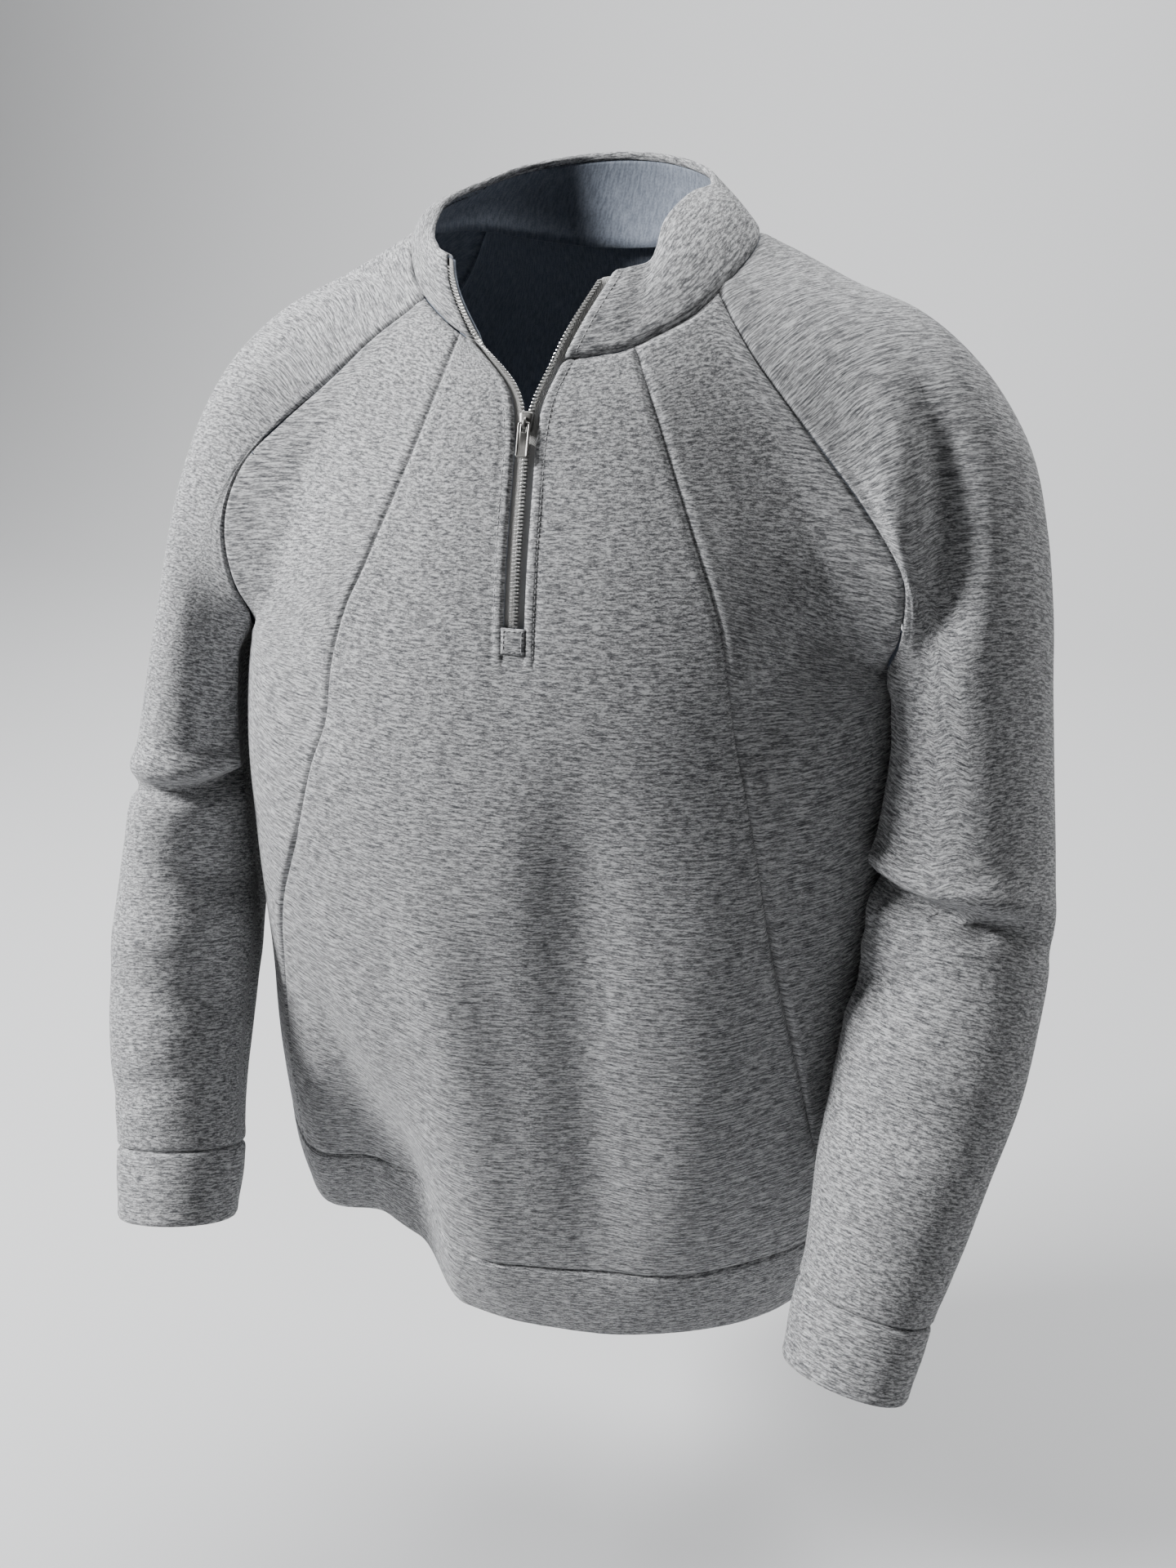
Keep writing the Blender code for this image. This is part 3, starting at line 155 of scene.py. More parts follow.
@dataclass
class Torso:
    """Stacked oval sections of the garment's body.

    Each section is height, half width, depth in front, depth behind,
    middle y and middle x.
    """

    exponent: float = 2.15
    sections: tuple = (
        (0.030, 0.066, 0.055, 0.070, 0.010, 0.000),
        (0.000, 0.085, 0.074, 0.080, 0.008, 0.000),
        (-0.030, 0.107, 0.096, 0.094, 0.004, 0.000),
        (-0.060, 0.133, 0.112, 0.107, 0.000, 0.000),
        (-0.100, 0.163, 0.128, 0.118, 0.000, -0.001),
        (-0.150, 0.189, 0.144, 0.126, 0.000, -0.003),
        (-0.210, 0.208, 0.154, 0.126, 0.000, -0.006),
        (-0.280, 0.217, 0.157, 0.122, 0.000, -0.010),
        (-0.360, 0.219, 0.155, 0.118, 0.000, -0.012),
        (-0.450, 0.220, 0.151, 0.118, 0.000, -0.013),
        (-0.540, 0.223, 0.147, 0.120, 0.000, -0.013),
        (-0.630, 0.222, 0.142, 0.120, 0.000, -0.012),
        (-0.720, 0.208, 0.133, 0.112, 0.000, -0.010),
    )

    def __post_init__(self) -> None:
        """Works out the fine section table."""
        self.fine = dense(self.sections)[::-1]

    def at(self, z: Points, column: int) -> Points:
        """One column of the section table at heights z."""
        return np.interp(z, self.fine[:, 0], self.fine[:, column])

    def outside(self, p: Points) -> Points:
        """Distance of points outside the torso's section, sideways."""
        z = p[..., 2]
        x = p[..., 0] - self.at(z, 5)
        y = p[..., 1] - self.at(z, 4)
        depth = np.where(y < 0, self.at(z, 2), self.at(z, 3))
        power = self.exponent
        size = ((np.abs(x) / self.at(z, 1))**power + (np.abs(y) / depth)**power)**(1 / power)
        return np.hypot(x, y) * (1.0 - 1.0 / (size + 1e-9))

    def reach(self, turn: Points, z: Points) -> Points:
        """How far the section reaches at a turn round it."""
        depth = np.where(np.sin(turn) < 0, self.at(z, 2), self.at(z, 3))
        power = self.exponent
        return ((np.abs(np.cos(turn)) / self.at(z, 1))**power
                + (np.abs(np.sin(turn)) / depth)**power)**(-1 / power)

    def ring_point(self, turn: Points, z: Points, inset: float = 0.0) -> Points:
        """Points of the section at a turn and height, moved in by the inset."""
        reach = self.reach(turn, z) - inset
        return np.stack([self.at(z, 5) + reach * np.cos(turn),
                         self.at(z, 4) + reach * np.sin(turn), z], -1)

    def turn_of(self, p: Points) -> Points:
        """Turn of points round the section at their height."""
        return np.arctan2(p[..., 1] - self.at(p[..., 2], 4), p[..., 0] - self.at(p[..., 2], 5))

    def front_point(self, x: Points, z: Points) -> Points:
        """Points on the front of the section at x and z."""
        across = np.clip(np.abs(x - self.at(z, 5)) / self.at(z, 1), 0.0, 0.995)
        y = self.at(z, 4) - self.at(z, 2) * (1.0 - across**self.exponent)**(1 / self.exponent)
        return np.stack([x, y, z], -1)


@dataclass
class Arm:
    """Tube of one arm: rows of x, y, z, radius sideways, radius front to back."""

    side: Side
    rows: tuple

    def __post_init__(self) -> None:
        """Works out the fine middle line."""
        self.line = dense(self.rows, 6)
        self.last = len(self.rows) - 1

    def frames(self, places: Points) -> tuple[Points, Points, Points, Points, Points]:
        """Middle, sideways axis, forward axis and radii at places along the arm."""
        rows = smooth_rows(self.rows, places)
        at = np.clip(places, 0.05, self.last - 0.05)
        run = unit(smooth_rows(self.rows, at + 0.05)[..., :3]
                   - smooth_rows(self.rows, at - 0.05)[..., :3])
        inward = np.array([-float(self.side.value), 0.0, 0.0])
        across = unit(inward - run * (run @ inward)[..., None])
        front = np.cross(run, across)
        front = front * np.where(front[..., 1:2] > 0, -1.0, 1.0)
        return rows[..., :3], across, front, rows[..., 3], rows[..., 4]

    def near(self, p: Points) -> tuple[Points, Points]:
        """Each point's distance outside the tube, and its place along the arm."""
        line = self.line
        start = line[:-1, :3]
        run = line[1:, :3] - start
        length = np.linalg.norm(run, axis=1)
        ahead = run / length[:, None]
        across = unit(np.array([1.0, 0.0, 0.0]) - ahead * ahead[:, 0:1])
        front = np.cross(ahead, across)
        away = p[..., None, :] - start
        part = np.clip((away * ahead).sum(-1) / length, 0.0, 1.0)
        off = away - run * part[..., None]
        radii = line[:-1, 3:] + (line[1:, 3:] - line[:-1, 3:]) * part[..., None]
        offs = [(off * axis).sum(-1) for axis in (across, front, ahead)]
        size = np.sqrt((offs[0] / radii[..., 0])**2 + (offs[1] / radii[..., 1])**2
                       + (offs[2] / radii.min(-1))**2) + 1e-9
        outside = np.sqrt(offs[0]**2 + offs[1]**2 + offs[2]**2) * (1.0 - 1.0 / size)
        best = outside.argmin(-1)[..., None]
        place = (best[..., 0] + np.take_along_axis(part, best, -1)[..., 0]) / 6.0
        return np.take_along_axis(outside, best, -1)[..., 0], place

    def point(self, place: Points, turn: Points, out: float = 0.0) -> Points:
        """Points of the tube from their place along it and turn round it."""
        middle, across, forward, wide, deep = self.frames(place)
        return (middle + across * ((wide + out) * np.cos(turn))[..., None]
                + forward * ((deep + out) * np.sin(turn))[..., None])


@dataclass(frozen=True)
class BodyFold:
    """A soft ridge or trough of the body along a line seen from the front."""

    x1: float
    z1: float
    x2: float
    z2: float
    width: float
    height: float
    face: Face = Face.FRONT

    def rise(self, p: Points) -> Points:
        """How far the fold moves points outwards."""
        run = np.array([self.x2 - self.x1, self.z2 - self.z1])
        length = float(np.hypot(*run))
        ahead = run / length
        dx = p[..., 0] - self.x1
        dz = p[..., 2] - self.z1
        along = (dx * ahead[0] + dz * ahead[1]) / length
        beside = dx * ahead[1] - dz * ahead[0]
        fade = ramp(along, -0.15, 0.25) * ramp(along, 1.15, 0.75)
        facing = ramp(-self.face.value * p[..., 1], 0.01, 0.06)
        return self.height * fade * facing * np.exp(-(beside / self.width)**2)


@dataclass(frozen=True)
class SleeveFold:
    """A ridge or trough on a sleeve.

    The place counts rows along the arm, and the turn is in degrees: 0 towards
    the body, 90 in front, 180 outside. The tilt is from straight round the arm.
    """

    place: float
    turn: float
    half_length: float
    half_width: float
    tilt: float
    height: float
    only: Side | None = None


@dataclass
class GarmentForm:
    """The outer surface of the whole garment, with its folds."""

    torso: Torso
    arms: dict
    body_folds: tuple
    sleeve_folds: tuple
    blend: float = 0.060
    blend_top: float = -0.150
    blend_bottom: float = -0.236
    armpit_z: float = -0.208
    armpit_blend: float = 0.030
    sag_depth: float = 0.038
    sag_x: tuple = (-0.055, -0.112)
    sag_side_x: tuple = (-0.200, -0.140)
    sag_z: tuple = (-0.440, -0.640)
    wave_height: float = 0.0021
    wave_size: float = 0.055

    def outside(self, p: Points) -> Points:
        """Distance of points outside the torso and arms together."""
        radius = self.blend * np.clip(ramp(p[..., 2], self.blend_bottom, self.blend_top), 0.05, 1.0)
        whole = self.torso.outside(p)
        for arm in self.arms.values():
            other = arm.near(p)[0]
            near = np.clip(radius - np.abs(whole - other), 0.0, None) / radius
            whole = np.minimum(whole, other) - near * near * radius * 0.25
        return whole

    def arm_share(self, p: Points) -> Points:
        """How much of the arms shows in the body's panels."""
        return ramp(p[..., 2], self.armpit_z, self.armpit_z + self.armpit_blend)[..., None]

    def body_surface(self, p: Points) -> Points:
        """Points brought onto the body's panels."""
        part = self.arm_share(p)
        return onto(self.torso.outside, p) * (1.0 - part) + onto(self.outside, p) * part

    def waves(self, p: Points) -> Points:
        """Slight unevenness of worn cloth, as a distance outwards."""
        flat = p.reshape(-1, 3) / self.wave_size
        stretch = (1.0, 1.0, 0.45)
        values = [noise.noise(Vector((q[0] * stretch[0], q[1] * stretch[1], q[2] * stretch[2])))
                  for q in flat]
        return np.array(values).reshape(p.shape[:-1]) * self.wave_height

    def body_shift(self, p: Points) -> Points:
        """How the folds move points of the body's plain surface."""
        rise = sum(fold.rise(p) for fold in self.body_folds) + self.waves(p)
        shift = unit(slope_of(self.torso.outside, p)) * rise[..., None]
        facing = ramp(-p[..., 1], 0.01, 0.06)
        sag = (self.sag_depth * facing * ramp(p[..., 0], *self.sag_x)
               * ramp(p[..., 0], *self.sag_side_x) * ramp(p[..., 2], *self.sag_z))
        shift[..., 1] += sag
        return shift

    def sleeve_shift(self, side: Side, p: Points) -> Points:
        """How a sleeve's folds move its points."""
        arm = self.arms[side]
        place = arm.near(p)[1]
        middle, across, forward, wide, deep = arm.frames(place)
        off = p - middle
        turn = np.arctan2((off * forward).sum(-1), (off * across).sum(-1))
        ahead = arm.frames(place + 0.5)[0] - arm.frames(place - 0.5)[0]
        row = np.linalg.norm(ahead, axis=-1)
        height = np.zeros(place.shape)
        for fold in self.sleeve_folds:
            if fold.only not in (None, side):
                continue
            down = (place - fold.place) * row
            aside = ((turn - math.radians(fold.turn) + np.pi) % (2 * np.pi) - np.pi)
            aside = aside * (wide + deep) / 2
            tilt = math.radians(fold.tilt)
            along = aside * math.cos(tilt) + down * math.sin(tilt)
            over = down * math.cos(tilt) - aside * math.sin(tilt)
            height += fold.height * np.exp(-(along / fold.half_length)**2
                                           - (over / fold.half_width)**2)
        height = height * ramp(place, 2.0, 3.0) + self.waves(p)
        return unit(off) * height[..., None]

    def off_torso(self, p: Points, clear: Points | float) -> Points:
        """Points pushed out until they lie clear of the torso."""
        held = 1.0 - self.arm_share(p)[..., 0]
        for _ in range(4):
            short = np.clip(clear - self.torso.outside(p), 0.0, None) * held
            p = p + unit(slope_of(self.torso.outside, p)) * short[..., None]
        return p


# ---------------------------------------------------------------- pattern

@dataclass
class Pattern:
    """The seams, as lines on the form, and the coarse grids between them."""

    form: GarmentForm
    hem_seam_z: float = -0.627
    hem_bottom_z: float = -0.693
    underarm_z: float = -0.232
    zip_bottom_z: float = -0.175
    side_seam_y: float = 0.022
    front_columns: int = 9
    rows_below: int = 13
    rows_beside: int = 2
    rows_above: int = 7
    side_columns: int = 6
    back_columns: int = 20
    sleeve_top: int = 8
    cap_rows: int = 9
    sleeve_crowding: float = 0.45
    cap_spread: float = 0.6
    cap_place: float = 6.0
    cuff_place: float = 11.0
    sleeve_rows: int = 12
    collar_around: int = 34
    neck_princess: tuple = (2, 17)
    neck_raglan: tuple = (3.5, 15.2)
    neck_back: tuple = (6.6, 11.4)
    neck_seam: tuple = (
        (0.0150, -0.1020, -0.0490), (0.0330, -0.0990, -0.0462), (0.0490, -0.0943, -0.0418),
        (0.0752, -0.0755, -0.0272), (0.0918, -0.0462, -0.0080), (0.0960, -0.0150, 0.0015),
        (0.0880, 0.0250, 0.0050), (0.0650, 0.0560, 0.0030), (0.0350, 0.0740, 0.0010),
        (0.0000, 0.0800, 0.0000), (-0.0350, 0.0740, 0.0010), (-0.0630, 0.0560, 0.0030),
        (-0.0830, 0.0270, 0.0040), (-0.0900, -0.0080, 0.0010), (-0.0860, -0.0380, -0.0060),
        (-0.0730, -0.0690, -0.0200), (-0.0560, -0.0850, -0.0310), (-0.0427, -0.0934, -0.0383),
        (-0.0340, -0.0965, -0.0415),
    )
    collar_top: tuple = (
        (0.0330, -0.0760, -0.0090), (0.0420, -0.0700, -0.0070), (0.0490, -0.0590, -0.0035),
        (0.0513, -0.0430, 0.0125), (0.0560, -0.0240, 0.0225), (0.0600, 0.0000, 0.0290),
        (0.0650, 0.0290, 0.0330), (0.0560, 0.0600, 0.0400), (0.0310, 0.0830, 0.0465),
        (0.0000, 0.0890, 0.0490), (-0.0330, 0.0840, 0.0470), (-0.0620, 0.0660, 0.0410),
        (-0.0790, 0.0400, 0.0330), (-0.0850, 0.0080, 0.0245), (-0.0830, -0.0160, 0.0150),
        (-0.0770, -0.0400, 0.0080), (-0.0690, -0.0580, 0.0030), (-0.0620, -0.0700, 0.0000),
        (-0.0550, -0.0770, -0.0020),
    )
    princess_left: tuple = (
        (0.0490, -0.0418), (0.0634, -0.0722), (0.0767, -0.1034), (0.0900, -0.1352),
        (0.1028, -0.1687), (0.1113, -0.2067), (0.1195, -0.2481), (0.1279, -0.2933),
        (0.1367, -0.3431), (0.1522, -0.4184), (0.1697, -0.5040), (0.1830, -0.5700),
        (0.1920, -0.6350),
    )
    princess_right: tuple = (
        (-0.0427, -0.0383), (-0.0519, -0.0651), (-0.0634, -0.0929), (-0.0757, -0.1217),
        (-0.0895, -0.1520), (-0.1058, -0.1847), (-0.1175, -0.2267), (-0.1327, -0.2737),
        (-0.1530, -0.3285), (-0.1760, -0.3821), (-0.1900, -0.4500), (-0.1980, -0.5400),
        (-0.2030, -0.6350),
    )
    raglan_front_left: tuple = (
        (0.1029, -0.0751, -0.0421), (0.1218, -0.0811, -0.0639), (0.1404, -0.0835, -0.0863),
        (0.1591, -0.0853, -0.1091), (0.1775, -0.0871, -0.1322), (0.1920, -0.0870, -0.1580),
        (0.1940, -0.0750, -0.1960), (0.1985, -0.0420, -0.2220),
    )
    raglan_front_right: tuple = (
        (-0.0850, -0.0747, -0.0306), (-0.1040, -0.0787, -0.0470), (-0.1248, -0.0803, -0.0641),
        (-0.1472, -0.0803, -0.0821), (-0.1685, -0.0825, -0.1004), (-0.1890, -0.0845, -0.1240),
        (-0.1990, -0.0830, -0.1600), (-0.2010, -0.0740, -0.2000), (-0.2090, -0.0420, -0.2240),
    )
    raglan_back: tuple = (
        (0.0980, 0.0640, -0.0300), (0.1300, 0.0740, -0.0600), (0.1550, 0.0800, -0.0950),
        (0.1750, 0.0820, -0.1350), (0.1870, 0.0740, -0.1750), (0.1930, 0.0560, -0.2080),
        (0.2010, 0.0300, -0.2260),
    )
    underarm: tuple = ((0.2045, 0.0000), (-0.2185, 0.0000))
    zip_edge_left: tuple = (
        (0.0056, -0.175), (0.0056, -0.120), (0.0056, -0.090),
        (0.0064, -0.0740), (0.0095, -0.0600), (0.0150, -0.0490),
    )
    zip_edge_right: tuple = (
        (-0.0056, -0.175), (-0.0056, -0.120), (-0.0056, -0.090),
        (-0.0074, -0.0720), (-0.0150, -0.0555), (-0.0340, -0.0415),
    )
    collar_bulge: float = 0.004

    def __post_init__(self) -> None:
        """Lays the collar seam on the form and draws the grids once."""
        self.neck_line = onto(self.form.outside, dense(self.neck_seam))
        self.rows_high = self.rows_beside + self.rows_above
        self.sleeve_around = 2 * self.rows_high + self.sleeve_top
        self.front = {side: self.front_half(side) for side in Side}
        self.sides = {side: self.side_panel(side) for side in Side}
        self.back = self.back_panel()

    def pick(self, side: Side, pair: tuple) -> float:
        """The left or right value of a pair."""
        return pair[0] if side is Side.LEFT else pair[1]

    def neck_between(self, first: float, last: float, count: int) -> Points:
        """Points of the collar seam between two of its stations."""
        places = np.linspace(first, last, 60) * 12.0
        low = np.clip(places.astype(int), 0, len(self.neck_line) - 2)
        part = (places - low)[:, None]
        return by_length(self.neck_line[low] * (1 - part) + self.neck_line[low + 1] * part, count)

    def neck_point(self, station: float) -> Points:
        """One point of the collar seam."""
        return self.neck_between(station, station + 0.001, 2)[0]

    def raglan(self, side: Side, where: Face) -> Points:
        """A raglan seam from the collar seam to the underarm, as a fine line."""
        if where is Face.FRONT:
            start = self.neck_point(self.pick(side, self.neck_raglan))
            table = self.pick(side, (self.raglan_front_left, self.raglan_front_right))
        else:
            start = self.neck_point(self.pick(side, self.neck_back))
            table = [(side.value * x, y, z) for x, y, z in self.raglan_back]
        under = (*self.pick(side, self.underarm), self.underarm_z)
        line = self.form.body_surface(dense([tuple(start), *table, under]))
        line[0] = start
        return line

    def side_line(self, side: Side, count: int) -> Points:
        """The side seam from the underarm down to the hem seam."""
        torso = self.form.torso
        under = self.raglan(side, Face.FRONT)[-1]
        z = np.linspace(self.underarm_z, self.hem_seam_z, 40)
        y = under[1] + (self.side_seam_y - under[1]) * ramp(z, self.underarm_z, self.underarm_z - 0.06)
        reach = np.clip(np.abs(y - torso.at(z, 4)) / torso.at(z, 3), 0.0, 0.99)
        width = torso.at(z, 1) * (1.0 - reach**torso.exponent)**(1 / torso.exponent)
        points = np.stack([torso.at(z, 5) + side.value * width, y, z], -1)
        points[0] = under
        return by_length(points, count)

    def hem_z(self, x: Points) -> Points:
        """Height of the hem seam across the body: a little higher at the sides."""
        return self.hem_seam_z + 0.30 * x * x

    def heights(self, seam_hem: float, zip_end: float, seam_top: float) -> Points:
        """Heights of the rows on one line of the body, from the hem seam up."""
        return np.concatenate([
            np.linspace(seam_hem, self.underarm_z, self.rows_below + 1),
            np.linspace(self.underarm_z, zip_end, self.rows_beside + 1)[1:],
            np.linspace(zip_end, seam_top, self.rows_above + 1)[1:]])

    def princess(self, side: Side) -> Points:
        """A princess seam from the hem seam up to the collar seam."""
        table = self.pick(side, (self.princess_left, self.princess_right))
        line = dense(table)[::-1]
        z = self.heights(self.hem_z(line[0, 0]), self.zip_bottom_z, table[0][1])
        x = np.interp(z, line[:, 1], line[:, 0])
        points = self.form.body_surface(self.form.torso.front_point(x, z))
        points[-1] = self.neck_point(self.pick(side, self.neck_princess))
        return points

    def front_half(self, side: Side) -> Points:
        """One half of the front panel, from the zip's edge to the princess seam."""
        seam = self.princess(side)
        edge = dense(self.pick(side, (self.zip_edge_left, self.zip_edge_right)))
        edge_z = self.heights(self.hem_seam_z, self.zip_bottom_z, edge[-1, 1])
        edge_x = np.interp(edge_z, edge[:, 1], edge[:, 0])
        part = np.linspace(0.0, 1.0, self.front_columns + 1)[None, :]
        x = edge_x[:, None] * (1 - part) + seam[:, 0:1] * part
        z = edge_z[:, None] * (1 - part) + seam[:, 2:3] * part
        level = np.linspace(1.0, 0.0, self.rows_below + 1)[:, None]
        z[:self.rows_below + 1] += (self.hem_z(x[0]) - z[0])[None, :] * level
        start = 0 if side is Side.LEFT else len(self.neck_seam) - 1
        top = self.neck_between(start, self.pick(side, self.neck_princess), self.front_columns + 1)
        x[-1] = top[:, 0]
        z[-1] = top[:, 2]
        half = self.form.body_surface(self.form.torso.front_point(x, z))
        half[:, -1] = seam
        half[-1] = top
        return half

    def between(self, first: Points, last: Points, columns: int, back: bool = False) -> Points:
        """A grid from one seam to another, round the torso at each height."""
        torso = self.form.torso
        part = np.linspace(0.0, 1.0, columns + 1)[None, :]
        z = first[:, 2:3] * (1 - part) + last[:, 2:3] * part
        start = torso.turn_of(first)[:, None]
        end = torso.turn_of(last)[:, None]
        if back:
            end = np.where(end < 0, end + 2 * np.pi, end)
        else:
            end = start + (end - start + np.pi) % (2 * np.pi) - np.pi
        grid = self.form.body_surface(torso.ring_point(start * (1 - part) + end * part, z))
        grid[:, 0] = first
        grid[:, -1] = last
        return grid

    def outer_seams(self, side: Side, where: Face) -> Points:
        """A side seam and the raglan seam above it, from the hem seam up."""
        low = self.side_line(side, self.rows_below + 1)[::-1]
        low[0, 2] = self.hem_z(low[0, 0])
        high = by_length(self.raglan(side, where), self.rows_high + 1)[::-1]
        return np.concatenate([low, high[1:]])

    def side_panel(self, side: Side) -> Points:
        """A side front, from the princess seam round to the side seam."""
        grid = self.between(self.princess(side), self.outer_seams(side, Face.FRONT), self.side_columns)
        grid[-1] = self.neck_between(self.pick(side, self.neck_princess),
                                     self.pick(side, self.neck_raglan), self.side_columns + 1)
        return grid

    def back_panel(self) -> Points:
        """The back, from the left side seam to the right one."""
        grid = self.between(self.outer_seams(Side.LEFT, Face.BACK),
                            self.outer_seams(Side.RIGHT, Face.BACK), self.back_columns, back=True)
        grid[-1] = self.neck_between(*self.neck_back, self.back_columns + 1)
        return grid

    def front_whole(self) -> Points:
        """The front panel with both halves, from the wearer's right to the left."""
        return np.concatenate([self.front[Side.RIGHT][:, ::-1], self.front[Side.LEFT]], axis=1)

    def hem_ring(self) -> Points:
        """The hem band, under the panels' own lower points."""
        torso = self.form.torso
        top = np.concatenate([self.front_whole()[0][:-1], self.sides[Side.LEFT][0][:-1],
                              self.back[0][:-1], self.sides[Side.RIGHT][0][::-1][:-1]])
        turn = torso.turn_of(top)
        rows = []
        for part in np.linspace(0.0, 1.0, 7):
            z = top[:, 2] + (self.hem_bottom_z - self.hem_seam_z) * part
            inset = -0.0012 * math.sin(math.pi * min(part * 1.6, 1.0)) + 0.0022 * max(part - 0.8, 0.0) * 5
            rows.append(torso.ring_point(turn, z, inset))
        return np.array(rows)

    def sleeve_turns(self) -> Points:
        """Turns of a sleeve's columns, from the underarm round, closer on the outer side."""
        even = np.arange(self.sleeve_around) / self.sleeve_around * 2 * np.pi
        return even + self.sleeve_crowding * np.sin(even)

    def sleeve_ring(self, side: Side) -> Points:
        """A sleeve's rings: its raglan edge first, then down to the cuff seam."""
        arm = self.form.arms[side]
        places = (self.pick(side, self.neck_raglan), self.pick(side, self.neck_back))
        high = self.rows_high
        edge = np.concatenate([by_length(self.raglan(side, Face.FRONT), high + 1)[::-1][:-1],
                               self.neck_between(*places, self.sleeve_top + 1)[:-1],
                               by_length(self.raglan(side, Face.BACK), high + 1)[:-1]])
        place = arm.near(edge)[1]
        middle, across, forward, wide, deep = arm.frames(place)
        off = edge - middle
        turn = np.arctan2((off * forward).sum(-1) / deep, (off * across).sum(-1) / wide)
        goal = self.sleeve_turns()
        turn = goal + (turn - goal + np.pi) % (2 * np.pi) - np.pi
        rows = [edge]
        for step in np.linspace(0.0, 1.0, self.cap_rows + 1)[1:]:
            late = step ** self.cap_spread
            rows.append(arm.point(place * (1 - step) + self.cap_place * step,
                                  turn * (1 - late) + goal * late))
        cap = np.array(rows)
        share = self.form.arm_share(cap[1:])
        cap[1:] = cap[1:] * (1.0 - share) + onto(self.form.outside, cap[1:]) * share
        tube = [arm.point(np.full(self.sleeve_around, at), goal)
                for at in np.linspace(self.cap_place, self.cuff_place, self.sleeve_rows + 1)[1:]]
        return np.concatenate([cap, np.array(tube)])

    def cuff_ring(self, side: Side) -> Points:
        """A cuff band's rings, from its seam to its end."""
        arm = self.form.arms[side]
        goal = self.sleeve_turns()
        rows = []
        for part in np.linspace(0.0, 1.0, 6):
            place = np.full(self.sleeve_around, self.cuff_place + part * (arm.last - self.cuff_place))
            out = 0.0013 * math.sin(math.pi * min(part * 1.3, 1.0))
            rows.append(arm.point(place, goal, out))
        return np.array(rows)

    def collar_band(self, rows: int) -> Points:
        """The collar's outer points, rows from its seam to its top edge."""
        low = by_length(by_length(self.neck_line, 400), self.collar_around + 1)
        fine = dense(self.neck_seam)
        along = lengths_along(fine)
        at = np.interp(np.linspace(0.0, along[-1], self.collar_around + 1), along,
                       np.linspace(0, len(self.neck_seam) - 1, len(fine)))
        high = smooth_rows(self.collar_top, at)
        part = np.linspace(0.0, 1.0, rows + 1)[:, None, None]
        grid = low * (1 - part) + high * part
        out = unit(np.cross(np.gradient(grid, axis=1), np.gradient(grid, axis=0)))
        return grid + out * self.collar_bulge * 4 * part * (1 - part)


# ---------------------------------------------------------------- shells

@dataclass(frozen=True)
class SeamEdge:
    """How cloth sinks beside a seam: how deep at it, and how far away it fades."""

    depth: float = 0.0015
    fade: float = 0.0015
    swell: float = 0.00045
    swell_at: float = 0.0048


SEAM = SeamEdge()
FREE = SeamEdge(depth=0.0, swell=0.0)


def spread(length: float, step: float, near: Sequence[float] = (0.0007, 0.0015, 0.0026, 0.0042)) -> Points:
    """Distances from one seam to the other: close beside both, then even.

    Args:
        length: Distance between the seams.
        step: The even spacing.
        near: Distances from each seam that are always used.

    Returns:
        Distances from 0 to the length.
    """
    inner = length - 2 * near[-1]
    count = max(int(round(inner / step)), 1)
    middle = near[-1] + inner * np.linspace(0.0, 1.0, count + 1)
    return np.concatenate([[0.0], near[:-1], middle, length - np.array(near[:-1])[::-1], [length]])


def drawn_out(grid: Points, step: float, ring: bool = False) -> Points:
    """A coarse grid drawn out to fine rows and columns, close together at its edges.

    Args:
        grid: Rows and columns of points.
        step: Spacing away from the edges.
        ring: Whether the rows close on themselves.

    Returns:
        The fine grid. A ring keeps its last column apart from its first.
    """
    middle_row = grid[len(grid) // 2]
    if ring:
        padded = np.concatenate([grid[:, -3:], grid, grid[:, :3]], axis=1)
        around = np.linalg.norm(middle_row - np.roll(middle_row, 1, axis=0), axis=-1).sum()
        count = int(around / step)
        places = 3.0 + np.arange(count) / count * grid.shape[1]
        fine = np.moveaxis(smooth_rows(np.moveaxis(padded, 1, 0), places), 0, 1)
    else:
        length = lengths_along(middle_row)
        at = spread(length[-1], step)
        places = np.interp(at, length, np.arange(len(length)))
        fine = np.moveaxis(smooth_rows(np.moveaxis(grid, 1, 0), places), 0, 1)
    down = lengths_along(fine).mean(axis=1)
    at = spread(down[-1], step)
    return smooth_rows(fine, np.interp(at, down, np.arange(len(down))))


def grid_normals(grid: Points, ring: bool = False) -> Points:
    """Normals of a grid, across its columns and up its rows."""
    if ring:
        along = np.roll(grid, -1, axis=1) - np.roll(grid, 1, axis=1)
    else:
        along = np.gradient(grid, axis=1)
    return unit(np.cross(along, np.gradient(grid, axis=0)))


def reach_from(grid: Points, axis: int) -> tuple[Points, Points]:
    """Distance of each grid point from the first and last line across an axis."""
    lines = np.moveaxis(grid, axis, 0)
    along = lengths_along(lines)
    return np.moveaxis(along, 0, axis), np.moveaxis(along[-1] - along, 0, axis)


def sunk(grid: Points, normal: Points, edges: dict) -> Points:
    """A grid sunk beside its seams.

    Args:
        grid: Points of the outer face.
        normal: Their normals, outwards.
        edges: SeamEdge for each of "left", "right", "bottom" and "top".

    Returns:
        The moved points.
    """
    drop = np.zeros(grid.shape[:2])
    for axis, names in ((1, ("left", "right")), (0, ("bottom", "top"))):
        for name, away in zip(names, reach_from(grid, axis)):
            edge = edges.get(name, FREE)
            if edge.depth == 0.0:
                continue
            here = edge.depth * np.exp(-(away / edge.fade)**2)
            here = here - edge.swell * np.exp(-((away - edge.swell_at) / 0.003)**2)
            drop = np.where(np.abs(here) > np.abs(drop), here, drop)
    return grid - normal * drop[..., None]


